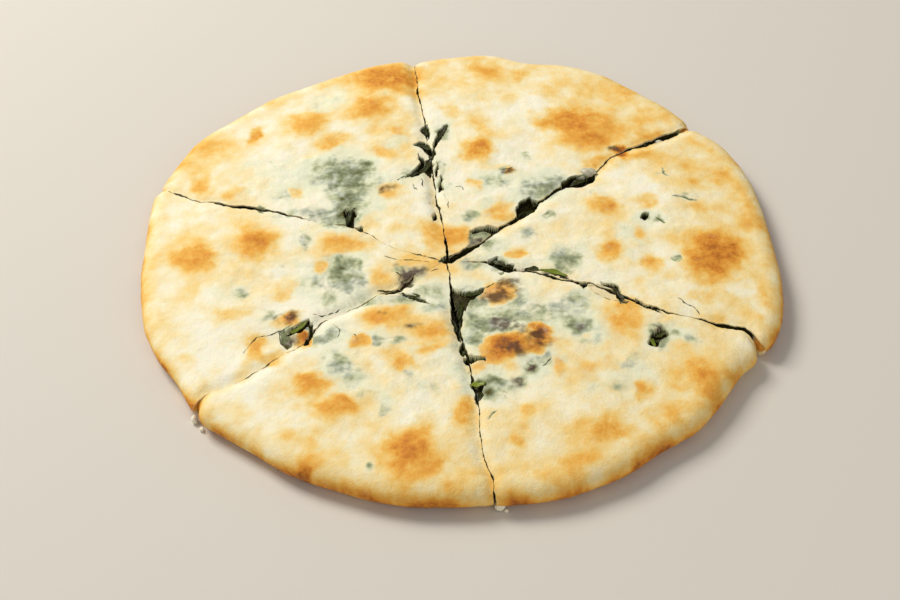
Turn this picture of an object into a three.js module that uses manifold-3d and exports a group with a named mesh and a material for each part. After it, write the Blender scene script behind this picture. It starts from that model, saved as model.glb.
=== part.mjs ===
// A round flatbread filled with white cheese and chopped greens, baked flat and cut into six slices that
// still lie together. Each slice is one sheet of dough folded round its filling: a flat base, a round rim and
// a thin top crust, open at both cut faces and at the point. The filling is a slab of its own that runs
// through the slice, and shows at the cuts and where the top crust has torn. Millimetres, +Z up; the origin
// is the middle of the base.
import * as THREE from "three";
import { mergeVertices } from "three/addons/utils/BufferGeometryUtils.js";
import Module from "manifold-3d";

// Driving dimensions, in millimetres.
const RIM_RADIUS = 148.5; // mean radius of the bread's outline
const CUT_CENTRE = new THREE.Vector2(-5, -14); // where the knife cuts cross
const TIP_RADIUS = 2.5; // the slices' blunt points end this far from the crossing
const RIM_HEIGHT = 12.5; // crest of the round rim
const BODY_HEIGHT = 14; // over the filling, inside the rim
const BODY_REACH = 45; // the height has risen from the crest's to the body's this far in from the edge
const RIM_ROUND = 9; // how far in from the edge the rim's round side reaches
const BASE_CRUST = 2.2; // thickness of the dough under the filling
const TOP_CRUST = 1.6; // thickness of the dough over the filling
const EDGE_CRUST = 7; // thickness of the folded dough at the rim
const CAVITY_ROUND = 3; // how far in the rounded end of the filling's space reaches
const CLEARANCE = 0.4; // between the filling and the dough all round it
const CORNER_WIDTH = 4; // a slice's corner is rounded off over this much of the rim
const CORNER_SPREAD = 1.6; // and over this much more for each millimetre that it is drawn in
const LIP_DROP = 1.3; // the knife pressed the top crust down this much along each cut
const LIP_WIDTH = 4; // over this width
const WAVE_HEIGHT = 0.5; // soft rise and fall of the top crust
const WAVE_LENGTH = 38; // from one rise to the next
const WAVE_SLANT = 0.035; // how far the waves lean out of line with X and Y, in radians per millimetre

// How finely a slice is divided: across it, along its base and its top alike, and round the rim between them.
const STEPS = { across: 11, along: 11, round: 6 };
const CROWDING = 0.6; // how much the lines across a slice crowd towards its cuts, from 0 (evenly) to 1
const MERGE = 1e-3; // corners closer than this are one

// The six knife cuts, counter-clockwise. angle is in degrees from +X. wander is how far the torn edge strays
// to the counter-clockwise side of the straight cut, and gap how far the cut has opened, both at even steps
// from the crossing to the rim. pull is how far the rim is drawn in at the corner of the slice that starts at
// the cut and of the one that ends there.
const CUTS = [
  {
    angle: -21.2,
    wander: [0, 3, 6, 5.5, 6.5, 5.5, 5.5, 6.5, 5, 2, 0, -1, 0, 0, 1.2, -4.5],
    gap: [0.8, 0.8, 1.8, 2, 2.2, 2, 1.4, 0.9, 2, 1.2, 1.2, 0.8, 0.8, 1.2, 1.6, 1.8],
    pull: { start: 1.6, end: 3.5 },
  },
  {
    angle: 39,
    wander: [0, -1, -1, 0.5, 0.5, 2, 2, 2.5, -1, 0, 2, 1, -2, -3.5, -4.5, -4.5],
    gap: [3, 3, 2.8, 1.6, 1.6, 2.4, 1.9, 1.6, 3, 1.4, 1, 1, 2.2, 3, 1.2, 0.8],
    pull: { start: 1.5, end: 1.5 },
  },
  {
    angle: 94.6,
    wander: [-1, -1.5, -1.5, -1.5, -0.5, -0.5, -0.5, -0.5, 0, -0.5, -0.5, 0, 0.5, 0, 0, 0],
    gap: [1.8, 1.6, 1, 0.9, 1.1, 0.9, 1.5, 1.5, 1.1, 1.2, 0.8, 0.8, 1.4, 0.9, 0.8, 0.8],
    pull: { start: 3, end: 1.5 },
  },
  {
    angle: 156,
    wander: [1, 0, 0, -0.5, -4.5, -6.5, -5, -3.5, -3, -3, -2.5, -0.5, 0, 2, 0.5, -1],
    gap: [0.8, 0.9, 0.8, 0.8, 0.8, 1.4, 0.9, 0.8, 1.4, 1.8, 2.2, 2.2, 1, 0.8, 0.8, 0.8],
    pull: { start: 1, end: 1.5 },
  },
  {
    angle: 215,
    wander: [0, 0, 0, 1, -2, -1.5, -1.5, -3, 0.5, 3.5, 3.5, 4.5, 4, 3, 1, 1.5],
    gap: [0.8, 0.8, 0.8, 2.2, 0.9, 0.8, 0.9, 0.9, 2, 1.2, 0.8, 1.1, 1.2, 0.8, 0.8, 0.8],
    pull: { start: 5, end: 0 },
  },
  {
    angle: 276.5,
    wander: [0.5, 0.5, 0, -0.5, 0, 0, 0, 1, 1, 1, 1, 0, -0.5, -0.5, 1, 0.5],
    gap: [1.1, 1.1, 1.7, 2, 2.8, 1.4, 1.6, 1.3, 1, 1.6, 0.9, 0.8, 0.8, 0.8, 0.9, 0.9],
    pull: { start: 0.5, end: 0.5 },
  },
];

// The slices, in the order of the cuts that start them. reach is how far the rim stands out from the mean
// circle, at even steps across the slice.
const SLICES = [
  { name: "right", reach: [2, 3, 0.5, -2, -2.5, -1.5, 0.5, 1, -2] },
  { name: "back_right", reach: [-1.5, 0, 1.5, 4.5, 4.5, 1, 4.5, 2.5, 0] },
  { name: "back_left", reach: [2, 3, 1, 1.5, 3, 3, 6, 4.5, 3.5] },
  { name: "left", reach: [4.5, 0.5, -2.5, -3, -2.5, -2, -3, -4.5, -2] },
  { name: "front_left", reach: [0.5, -1.5, -3, -1.5, -1.5, -0.5, 0, -0.5, -0.5] },
  { name: "front_right", reach: [0.5, 2, 2, 1.5, -0.5, 0.5, -1, -2.5, 0] },
];

// Blisters, where the top crust lifted off the filling and browned: middle, radius and rise.
const BLISTERS = [
  { x: 118, y: -16, radius: 17, rise: 1.5 },
  { x: 68, y: 20, radius: 8, rise: 0.8 },
  { x: 66, y: 82, radius: 18, rise: 1.4 },
  { x: 11, y: 67, radius: 9, rise: 1 },
  { x: -33, y: 127, radius: 15, rise: 1.1 },
  { x: -41, y: 103, radius: 12, rise: 1.1 },
  { x: -72, y: 93, radius: 10, rise: 1 },
  { x: -94, y: 3, radius: 12, rise: 1.2 },
  { x: -119, y: -3, radius: 10, rise: 1 },
  { x: -52, y: 0, radius: 9, rise: 0.8 },
  { x: -19, y: -125, radius: 14, rise: 1.2 },
  { x: -51, y: -100, radius: 8, rise: 0.9 },
  { x: -64, y: -86, radius: 7, rise: 0.8 },
  { x: -32, y: -48, radius: 10, rise: 0.8 },
  { x: 25, y: -67, radius: 13, rise: 1.2 },
  { x: 19, y: -36, radius: 8, rise: 0.9 },
  { x: 101, y: -89, radius: 10, rise: 1 },
  { x: 54, y: -116, radius: 9, rise: 0.9 },
];

// Tears, where the top crust has a hole down to the greens: middle, half length, half width and turn in
// degrees.
const TEARS = [
  { slice: "front_right", x: 85, y: -66, length: 4.6, width: 3.6, turn: 70 },
  { slice: "front_right", x: 7, y: -92, length: 4.4, width: 3.2, turn: 80 },
  { slice: "back_left", x: -51, y: 22, length: 6, width: 2.6, turn: 80 },
  { slice: "back_right", x: -7, y: 81, length: 6.4, width: 3, turn: 60 },
  { slice: "back_left", x: -17.5, y: 53, length: 7, width: 2.8, turn: 52 },
  { slice: "left", x: -76, y: -55, length: 7, width: 3, turn: 28 },
];
const TEAR_SIDES = 9;
const TEAR_RAGGED = 0.18; // how much a tear's edge strays from an oval, as a share of its size

const CRUST = new THREE.MeshStandardMaterial({ color: 0xf2dfb2, roughness: 0.75, metalness: 0 });
const GREENS = new THREE.MeshStandardMaterial({ color: 0x3c4a2a, roughness: 0.6, metalness: 0 });

const wasm = await Module();
wasm.setup();

const { lerp, degToRad, clamp, smoothstep } = THREE.MathUtils;

// A smooth curve through evenly spaced values, read at a share from 0 to 1 of its length (Catmull-Rom).
function through(values, share) {
  const last = values.length - 1;
  const at = clamp(share, 0, 1) * last;
  const k = Math.min(Math.floor(at), last - 1);
  const f = at - k;
  const value = (n) => values[clamp(n, 0, last)];
  const [a, b, c, d] = [value(k - 1), value(k), value(k + 1), value(k + 2)];
  return b + 0.5 * f * (c - a + f * (2 * a - 5 * b + 4 * c - d + f * (3 * (b - c) + d - a)));
}

// A bell of height 1 and the given half width.
const bell = (distance, width) => Math.exp(-((distance / width) ** 2));

// Distance from the crossing of the cuts to the mean circle of the rim, in the direction of an angle.
function circleDistance(angle) {
  const along = CUT_CENTRE.x * Math.cos(angle) + CUT_CENTRE.y * Math.sin(angle);
  return -along + Math.sqrt(along ** 2 - CUT_CENTRE.lengthSq() + RIM_RADIUS ** 2);
}

// The angle at which one side of a cut lies, at a distance from the crossing. side is 1 for its
// counter-clockwise side and -1 for the other, and turns adds whole turns, so that angles rise from slice to
// slice.
function sideAngle(cut, distance, side, turns = 0) {
  const straight = degToRad(cut.angle) + turns * 2 * Math.PI;
  const share = distance / circleDistance(straight);
  const aside = through(cut.wander, share) + (side * through(cut.gap, share)) / 2;
  return straight + Math.atan2(aside, distance);
}

// How far the rim is drawn in at a distance along it from a corner that is drawn in by pull.
function cornerPull(pull, distance) {
  return pull * (1 - smoothstep(distance, 0, CORNER_WIDTH + CORNER_SPREAD * pull)) ** 2;
}

// One slice's plan: where it lies at a share u across it, and how far from the crossing.
class SlicePlan {
  constructor(index) {
    this.slice = SLICES[index];
    this.start = CUTS[index];
    this.end = CUTS[(index + 1) % CUTS.length];
    this.turns = index + 1 === CUTS.length ? 1 : 0;
  }

  // The direction from the crossing, at a share across the slice and a distance from the crossing.
  angle(u, distance) {
    return lerp(sideAngle(this.start, distance, 1), sideAngle(this.end, distance, -1, this.turns), u);
  }

  // Distance from the crossing to the rim's edge, drawn in at the slice's two corners.
  edge(u) {
    const from = degToRad(this.start.angle);
    const to = degToRad(this.end.angle) + this.turns * 2 * Math.PI;
    const circle = circleDistance(lerp(from, to, u));
    const span = circle * (to - from);
    const startPull = cornerPull(this.start.pull.start, u * span);
    const endPull = cornerPull(this.end.pull.end, (1 - u) * span);
    return circle + through(this.slice.reach, u) - startPull - endPull;
  }

  // The point at a share across, a distance from the crossing and a height.
  point(u, distance, z) {
    const angle = this.angle(u, distance);
    const x = CUT_CENTRE.x + distance * Math.cos(angle);
    const y = CUT_CENTRE.y + distance * Math.sin(angle);
    return new THREE.Vector3(x, y, z);
  }

  // Height of the top crust: the rim's crest, the body's rise behind it, waves and blisters, less the lips
  // pressed down along the cuts.
  top(u, distance) {
    const { x, y } = this.point(u, distance, 0);
    const fromEdge = this.edge(u) - distance;
    const rise = (BODY_HEIGHT - RIM_HEIGHT) * smoothstep(fromEdge, RIM_ROUND, BODY_REACH);
    const phase = (2 * Math.PI) / WAVE_LENGTH;
    const waves = WAVE_HEIGHT * Math.sin(x * phase + y * WAVE_SLANT) * Math.cos(y * phase - x * WAVE_SLANT);
    const blister = (b) => b.rise * bell(Math.hypot(x - b.x, y - b.y), b.radius);
    const blisters = BLISTERS.reduce((sum, b) => sum + blister(b), 0);
    const width = this.point(0, distance, 0).distanceTo(this.point(1, distance, 0));
    const lips = LIP_DROP * (bell(u * width, LIP_WIDTH) + bell((1 - u) * width, LIP_WIDTH));
    return RIM_HEIGHT + rise + waves + blisters - Math.min(lips, LIP_DROP);
  }
}

// The line of a folded layer at a share across the slice: along its floor from the point out, round its end,
// and back along its ceiling. Its end is drawn in by inset from the rim's edge and rounded over round, its
// floor lies at floor, and its ceiling is drop below the top crust.
function foldedLine(plan, u, { inset, round, floor, drop }) {
  const outer = plan.edge(u) - inset - round;
  const line = [];
  const ceiling = (distance) => plan.top(u, distance) - drop;
  for (let k = 0; k < STEPS.along; k++) {
    const distance = lerp(TIP_RADIUS, outer, k / STEPS.along);
    line.push(plan.point(u, distance, floor));
  }
  for (let k = 0; k <= STEPS.round; k++) {
    const a = lerp(-Math.PI / 2, Math.PI / 2, k / STEPS.round);
    const middle = (ceiling(outer) + floor) / 2;
    const z = middle + (ceiling(outer) - middle) * Math.sin(a);
    line.push(plan.point(u, outer + round * Math.cos(a), z));
  }
  for (let k = 1; k <= STEPS.along; k++) {
    const distance = lerp(outer, TIP_RADIUS, k / STEPS.along);
    line.push(plan.point(u, distance, ceiling(distance)));
  }
  return line;
}

// The grid of a layer: one folded line for each step across the slice, closer together near the two cuts.
function layer(plan, shape) {
  return Array.from({ length: STEPS.across + 1 }, (_, i) => {
    const even = i / STEPS.across;
    const u = lerp(even, (1 - Math.cos(Math.PI * even)) / 2, CROWDING);
    return foldedLine(plan, u, shape);
  });
}

// Collects points and four-sided faces, and gives them back as a geometry of triangles.
class Surface {
  positions = [];
  triangles = [];

  face(a, b, c, d) {
    const first = this.positions.length / 3;
    for (const p of [a, b, c, d]) this.positions.push(p.x, p.y, p.z);
    this.triangles.push(first, first + 1, first + 2, first, first + 2, first + 3);
  }

  // Faces over a grid of lines; outwards says whether they look to the side of line times step.
  grid(lines, outwards) {
    for (let i = 0; i + 1 < lines.length; i++) {
      for (let j = 0; j + 1 < lines[i].length; j++) {
        const [a, b, c, d] = [lines[i][j], lines[i + 1][j], lines[i + 1][j + 1], lines[i][j + 1]];
        if (outwards) this.face(a, b, c, d);
        else this.face(a, d, c, b);
      }
    }
  }

  geometry() {
    const made = new THREE.BufferGeometry();
    made.setAttribute("position", new THREE.Float32BufferAttribute(this.positions, 3));
    made.setIndex(this.triangles);
    return mergeVertices(made, MERGE);
  }
}

// A closed solid of a geometry whose shared vertices are merged, without the triangles that have shrunk to a
// line.
function solidOf(geometry) {
  const corners = geometry.index.array;
  const kept = [];
  for (let k = 0; k < corners.length; k += 3) {
    const [a, b, c] = corners.slice(k, k + 3);
    if (a !== b && b !== c && c !== a) kept.push(a, b, c);
  }
  const vertProperties = new Float32Array(geometry.attributes.position.array);
  return new wasm.Manifold(new wasm.Mesh({ numProp: 3, vertProperties, triVerts: new Uint32Array(kept) }));
}

// A solid back as a geometry.
function geometryOf(solid) {
  const mesh = solid.getMesh();
  const made = new THREE.BufferGeometry();
  made.setAttribute("position", new THREE.Float32BufferAttribute(mesh.vertProperties, 3));
  made.setIndex(new THREE.BufferAttribute(mesh.triVerts, 1));
  made.computeVertexNormals();
  return made;
}

// The prism that opens a tear in the top crust: a ragged oval from inside the filling up past the crust.
function tearSolid({ x, y, length, width, turn }) {
  const outline = new THREE.Shape(
    Array.from({ length: TEAR_SIDES }, (_, k) => {
      const a = (k / TEAR_SIDES) * 2 * Math.PI;
      const ragged = 1 + TEAR_RAGGED * Math.sin(3 * a + x);
      return new THREE.Vector2(length * ragged * Math.cos(a), width * ragged * Math.sin(a));
    }),
  );
  const from = BODY_HEIGHT / 2;
  const geometry = new THREE.ExtrudeGeometry(outline, { depth: BODY_HEIGHT, bevelEnabled: false });
  geometry.rotateZ(degToRad(turn)).translate(x, y, from);
  geometry.deleteAttribute("normal");
  geometry.deleteAttribute("uv");
  return solidOf(mergeVertices(geometry, MERGE));
}

// The dough of a slice: a folded sheet with an outer and an inner skin, joined along both cut faces and at
// the point.
function dough(plan) {
  const outer = layer(plan, { inset: 0, round: RIM_ROUND, floor: 0, drop: 0 });
  const inner = layer(plan, {
    inset: EDGE_CRUST,
    round: CAVITY_ROUND,
    floor: BASE_CRUST,
    drop: TOP_CRUST,
  });
  const surface = new Surface();
  surface.grid(outer, true);
  surface.grid(inner, false);
  surface.grid([inner[0], outer[0]], true);
  surface.grid([outer.at(-1), inner.at(-1)], true);
  surface.grid([outer.map((line) => line[0]), inner.map((line) => line[0])], true);
  surface.grid([inner.map((line) => line.at(-1)), outer.map((line) => line.at(-1))], true);
  const tears = TEARS.filter((tear) => tear.slice === plan.slice.name).map(tearSolid);
  const solid = tears.reduce((whole, tear) => whole.subtract(tear), solidOf(surface.geometry()));
  return geometryOf(solid);
}

// The filling of a slice: a slab that fills the folded dough with a little clearance, flush with both cut
// faces.
function filling(plan) {
  const lines = layer(plan, {
    inset: EDGE_CRUST + CLEARANCE,
    round: CAVITY_ROUND,
    floor: BASE_CRUST + CLEARANCE,
    drop: TOP_CRUST + CLEARANCE,
  });
  // A cut face runs from the slab's floor line up to its ceiling line, which meet at the rounded end.
  const half = STEPS.along + STEPS.round / 2;
  const floor = (line) => line.slice(0, half + 1);
  const ceiling = (line) => line.slice(half).reverse();
  const surface = new Surface();
  surface.grid(lines, true);
  surface.grid([ceiling(lines[0]), floor(lines[0])], true);
  surface.grid([floor(lines.at(-1)), ceiling(lines.at(-1))], true);
  surface.grid([lines.map((line) => line[0]), lines.map((line) => line.at(-1))], true);
  return geometryOf(solidOf(surface.geometry()));
}

function named(name, geometry, material) {
  const mesh = new THREE.Mesh(geometry, material);
  mesh.name = name;
  return mesh;
}

const bread = new THREE.Group();
SLICES.forEach((slice, index) => {
  const plan = new SlicePlan(index);
  bread.add(named("dough_" + slice.name, dough(plan), CRUST));
  bread.add(named("filling_" + slice.name, filling(plan), GREENS));
});

export default bread;
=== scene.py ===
"""A round flatbread filled with greens and white cheese, cut into slices that still lie together.

Lengths are millimetres in the bread's own frame until a mesh is made: +Z up, the middle of the underside at
the origin, +Y away from the front slices. Only the meshes, the lights and the camera are in metres.
"""

from __future__ import annotations

import logging
import math
from dataclasses import astuple, dataclass, field
from enum import Enum, IntEnum

import bpy
import numpy as np
from mathutils import Matrix, Vector


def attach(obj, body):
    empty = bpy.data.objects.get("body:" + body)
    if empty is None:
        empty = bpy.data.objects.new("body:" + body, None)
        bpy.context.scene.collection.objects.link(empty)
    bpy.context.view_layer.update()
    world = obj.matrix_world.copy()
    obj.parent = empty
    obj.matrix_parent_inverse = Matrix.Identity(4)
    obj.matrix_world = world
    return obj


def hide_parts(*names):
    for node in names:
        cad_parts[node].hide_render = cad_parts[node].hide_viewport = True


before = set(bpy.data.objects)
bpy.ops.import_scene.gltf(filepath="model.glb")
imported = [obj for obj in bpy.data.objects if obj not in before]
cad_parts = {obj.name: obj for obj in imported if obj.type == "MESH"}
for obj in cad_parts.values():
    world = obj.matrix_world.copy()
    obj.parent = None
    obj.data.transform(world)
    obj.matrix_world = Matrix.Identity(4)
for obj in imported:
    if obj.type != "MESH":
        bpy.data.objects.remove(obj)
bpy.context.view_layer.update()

log = logging.getLogger("flatbread")

Array = np.ndarray
Tree = bpy.types.NodeTree
Socket = bpy.types.NodeSocket
Material = bpy.types.Material

MM = 0.001

# Sizes that every slice shares, in millimetres.
RIM_RADIUS = 148.5
CROSSING = (-5.0, -14.0)
TIP_RADIUS = 1.8
RIM_HEIGHT = 12.5
BODY_HEIGHT = 14.0
BODY_REACH = 45.0
RIM_ROUND = 9.0
BASE_CRUST = 2.2
TOP_CRUST = 1.5
EDGE_CRUST = 7.0
LIP_DROP = 0.75
LIP_WIDTH = 2.6
CORNER_WIDTH = 4.0
CORNER_SPREAD = 1.6


class Edge(Enum):
    """The two cut faces of a slice, as the side of the knife's line that each lies on."""

    START = 1
    END = -1


class Field(str, Enum):
    """The values that a baked surface carries at each point for its finish."""

    BROWNING = "browning"
    # Leaf that shows through the crust, and also painted shade inside tears and on the cut faces in the gaps.
    GREENS_AND_SHADE = "greens"
    THIN = "thin"
    BLUSH = "blush"
    CRUMB = "crumb"
    PURPLE = "purple"
    TONE = "tone"


CRUST_FIELDS = (Field.BROWNING, Field.GREENS_AND_SHADE, Field.THIN, Field.BLUSH, Field.CRUMB, Field.PURPLE)


class Seed(IntEnum):
    """What chooses each random field."""

    LONG_WAVES = 11
    LUMPS = 12
    WRINKLES = 13
    FILLING_LUMPS = 14
    LIPS = 15
    RIM_WAVER = 31
    TEAR_X = 71
    TEAR_Y = 72
    SPOTS = 101
    HALO = 103
    LEAVES = 105
    HAZE = 107
    WARMTH = 109
    SPOT_CORES = 111
    STALKS = 113
    SHEER = 115
    SHEER_CLOUDS = 117
    SHOW_THROUGH = 121
    DRIFT = 131
    FINE_DRIFT = 135
    TOAST = 141
    TAN = 151
    PALE = 161
    WALLS = PALE
    CRUMB_BAND = 165
    LEAF_AND_SHADE_WALLS = 167
    BUMPS = 171
    FINE_BUMPS = 175
    FRAYED = 900
    STRAYING = 980
    FRAYED_FILLING = 1400


# ----------------------------------------------------------------------------
# Small functions on whole arrays
# ----------------------------------------------------------------------------


def ramp(value: Array, low: float, high: float) -> Array:
    """Rise smoothly from 0 at low to 1 at high, as three times the square less twice the cube of the share.

    Args:
        value: Numbers of any shape.
        low: Where the rise starts.
        high: Where it ends; it may lie below low, for a fall.

    Returns:
        Numbers from 0 to 1, of the same shape.
    """
    share = np.clip((value - low) / (high - low), 0.0, 1.0)
    return share * share * (3.0 - 2.0 * share)


def bell(distance: Array, width: float | Array) -> Array:
    """Fall from 1 as e to the power of minus the square of distance over width."""
    return np.exp(-((distance / width) ** 2))


def through(values: tuple[float, ...], share: Array) -> Array:
    """Read a smooth curve through evenly spaced values.

    The curve between two values is the cubic whose slope at each is half the difference of its neighbours.

    Args:
        values: The values, in order.
        share: Where to read it, from 0 at the first value to 1 at the last.

    Returns:
        The curve's values, of the shape of share.
    """
    table = np.asarray(values, dtype=float)
    at = np.clip(share, 0.0, 1.0) * (len(table) - 1)
    low = np.minimum(np.floor(at).astype(int), len(table) - 2)
    f = at - low
    a, b, c, d = (table[np.clip(low + k, 0, len(table) - 1)] for k in (-1, 0, 1, 2))
    return b + 0.5 * f * (c - a + f * (2 * a - 5 * b + 4 * c - d + f * (3 * (b - c) + d - a)))


def value_noise(x: Array, y: Array, seed: int) -> Array:
    """Give a smooth random field with one random value from -1 to 1 at each whole number of x and y.

    Between them the field is blended along x and then y by the smooth step of the distance.

    Args:
        x: First coordinate, in cells.
        y: Second coordinate, in cells.
        seed: Chooses the field.

    Returns:
        The field's values, of the common shape of x and y.
    """
    lattice = np.random.default_rng(seed).uniform(-1.0, 1.0, (256, 256))
    x0 = np.floor(x).astype(int)
    y0 = np.floor(y).astype(int)
    sx = ramp(x - x0, 0.0, 1.0)
    sy = ramp(y - y0, 0.0, 1.0)
    low = lattice[x0 % 256, y0 % 256] * (1 - sx) + lattice[(x0 + 1) % 256, y0 % 256] * sx
    high = lattice[x0 % 256, (y0 + 1) % 256] * (1 - sx) + lattice[(x0 + 1) % 256, (y0 + 1) % 256] * sx
    return low * (1 - sy) + high * sy


def layered_noise(x: Array, y: Array, wavelength: float, seed: int, layers: int = 3) -> Array:
    """Sum fields of random values, each half as long and half as strong as the one before.

    Args:
        x: Position in millimetres.
        y: Position in millimetres.
        wavelength: Cell size of the first field in millimetres.
        seed: Chooses the fields.
        layers: How many fields.

    Returns:
        Values that mostly stay between -1 and 1.
    """
    total = np.zeros(np.broadcast(x, y).shape)
    for layer in range(layers):
        scale = 2.0**layer / wavelength
        turned_x = (0.8 * x - 0.6 * y) * scale + 17.3 * layer
        turned_y = (0.6 * x + 0.8 * y) * scale + 41.7 * layer
        total += value_noise(turned_x, turned_y, seed + layer) * 0.5**layer
    return total


def unit(vectors: Array) -> Array:
    """Scale each vector of the last axis to length 1."""
    return vectors / np.maximum(np.linalg.norm(vectors, axis=-1, keepdims=True), 1e-9)


# ----------------------------------------------------------------------------
# Meshes
# ----------------------------------------------------------------------------


@dataclass
class Surface:
    """Points, faces and point values gathered for one mesh, in millimetres."""

    points: list[Array] = field(default_factory=list)
    values: dict[Field, list[Array]] = field(default_factory=dict)
    quads: list[Array] = field(default_factory=list)
    triangles: list[Array] = field(default_factory=list)
    count: int = 0

    def add_points(self, points: Array, values: dict[Field, Array] | None = None) -> Array:
        """Add an array of points.

        Args:
            points: Points on the last axis, in an array of any shape.
            values: For each field, numbers that fit the points' shape.

        Returns:
            The points' numbers in the mesh, in an array of the points' shape.
        """
        shape = points.shape[:-1]
        size = int(np.prod(shape))
        self.points.append(points.reshape(-1, 3))
        for name, numbers in (values or {}).items():
            self.values.setdefault(name, []).append(np.broadcast_to(numbers, shape).reshape(-1))
        first = self.count
        self.count += size
        return np.arange(first, first + size).reshape(shape)

    def add_grid(self, grid: Array, flip: bool = False) -> None:
        """Join a grid of point numbers by four-sided faces.

        Args:
            grid: Point numbers in rows and columns, on the last two axes. A face looks along the row step
                crossed with the column step.
            flip: Turn the faces to look the other way.
        """
        corners = [grid[..., :-1, :-1], grid[..., 1:, :-1], grid[..., 1:, 1:], grid[..., :-1, 1:]]
        faces = np.stack(corners[::-1] if flip else corners, axis=-1)
        self.quads.append(faces.reshape(-1, 4))

    def add_fan(self, ring: Array, centre: Array, flip: bool = False) -> None:
        """Close a ring of point numbers by triangles to one centre point for each ring.

        Args:
            ring: Point numbers along the last axis, once round without repeating the first.
            centre: One point number for each ring.
            flip: Turn the faces to look the other way.
        """
        following = np.roll(ring, -1, axis=-1)
        middle = np.broadcast_to(np.asarray(centre)[..., None], ring.shape)
        faces = np.stack([following, ring, middle] if flip else [ring, following, middle], axis=-1)
        self.triangles.append(faces.reshape(-1, 3))

    def to_object(self, name: str, sharp_degrees: float = 180.0) -> bpy.types.Object:
        """Make a mesh object at the origin, in metres, that carries the point values as attributes.

        Args:
            name: The object's name.
            sharp_degrees: Edges that turn by more than this are shaded as sharp.

        Returns:
            The new object, linked to the scene.
        """
        points = np.concatenate(self.points) * MM
        quads = np.concatenate(self.quads) if self.quads else np.zeros((0, 4), dtype=int)
        triangles = np.concatenate(self.triangles) if self.triangles else np.zeros((0, 3), dtype=int)
        corners = np.concatenate([quads.ravel(), triangles.ravel()]).astype(np.int32)
        sizes = np.concatenate([np.full(len(quads), 4), np.full(len(triangles), 3)])
        starts = (np.cumsum(sizes) - sizes).astype(np.int32)
        mesh = bpy.data.meshes.new(name)
        mesh.vertices.add(len(points))
        mesh.vertices.foreach_set("co", points.astype(np.float32).ravel())
        mesh.loops.add(len(corners))
        mesh.loops.foreach_set("vertex_index", corners)
        mesh.polygons.add(len(sizes))
        mesh.polygons.foreach_set("loop_start", starts)
        mesh.polygons.foreach_set("use_smooth", np.ones(len(sizes), dtype=bool))
        mesh.update(calc_edges=True)
        for key, numbers in self.values.items():
            attribute = mesh.attributes.new(key.value, "FLOAT", "POINT")
            attribute.data.foreach_set("value", np.concatenate(numbers).astype(np.float32))
        mesh.validate()
        mesh.set_sharp_from_angle(angle=math.radians(sharp_degrees))
        return place_object(name, mesh)


def place_object(name: str, data: bpy.types.ID) -> bpy.types.Object:
    """Make an object of a mesh, a light or a camera and link it to the scene.

    Args:
        name: The object's name.
        data: What it shows.

    Returns:
        The new object.
    """
    made = bpy.data.objects.new(name, data)
    bpy.context.scene.collection.objects.link(made)
    return made


def make_piece(
    surface: Surface, name: str, finish: Material, sharp_degrees: float = 180.0
) -> bpy.types.Object:
    """Make a surface a piece of the bread, which is one rigid body.

    Args:
        surface: The piece's surface.
        name: Its name.
        finish: Its material.
        sharp_degrees: Edges that turn by more than this are shaded as sharp.

    Returns:
        The piece.
    """
    piece = surface.to_object(name, sharp_degrees)
    piece.data.materials.append(finish)
    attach(piece, "root")
    return piece


# ----------------------------------------------------------------------------
# Finishes
# ----------------------------------------------------------------------------


def colour(hex_code: str) -> tuple[float, float, float, float]:
    """Turn an sRGB hex colour into linear red, green, blue and alpha.

    Each channel is (c + 0.055) / 1.055 to the power of 2.4, or c / 12.92 below 0.04045.

    Args:
        hex_code: Six hex digits after a hash sign.

    Returns:
        The linear colour.
    """
    channels = [int(hex_code[k : k + 2], 16) / 255.0 for k in (1, 3, 5)]
    linear = [c / 12.92 if c <= 0.04045 else ((c + 0.055) / 1.055) ** 2.4 for c in channels]
    return (linear[0], linear[1], linear[2], 1.0)


def per_metre(wavelength_mm: float) -> float:
    """Give a texture's scale for features of a size in millimetres, read on coordinates in metres."""
    return 1000.0 / wavelength_mm


def feed(tree: Tree, node: bpy.types.Node, inputs: dict[str | int, object]) -> None:
    """Set a node's input values and links.

    Args:
        tree: The node's tree.
        node: The node.
        inputs: For each input, by name or place, a value to set or an output to link it to.
    """
    for key, value in inputs.items():
        if isinstance(value, Socket):
            tree.links.new(value, node.inputs[key])
        else:
            node.inputs[key].default_value = value


def add_node(
    tree: Tree,
    kind: str,
    settings: dict[str, object] | None = None,
    inputs: dict[str | int, object] | None = None,
) -> bpy.types.Node:
    """Add a node to a tree with its settings, its input values and its links.

    Args:
        tree: The material's or the world's node tree.
        kind: The node's type name.
        settings: The node's own properties.
        inputs: Its input values and links, as feed takes them.

    Returns:
        The new node.
    """
    node = tree.nodes.new(kind)
    for name, value in (settings or {}).items():
        setattr(node, name, value)
    feed(tree, node, inputs or {})
    return node


# The places of a Mix node's colour inputs and output among its sockets.
MIX_FACTOR, MIX_FIRST, MIX_SECOND, MIX_RESULT = 0, 6, 7, 2


def blend(tree: Tree, factor: object, first: object, second: object) -> Socket:
    """Lay a second colour over a first by a factor.

    Args:
        tree: The node tree.
        factor: A number or an output, 0 for the first colour and 1 for the second.
        first: A colour or an output.
        second: A colour or an output.

    Returns:
        The mixed colour's output.
    """
    inputs = {MIX_FACTOR: factor, MIX_FIRST: first, MIX_SECOND: second}
    return add_node(tree, "ShaderNodeMix", {"data_type": "RGBA"}, inputs).outputs[MIX_RESULT]


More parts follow.
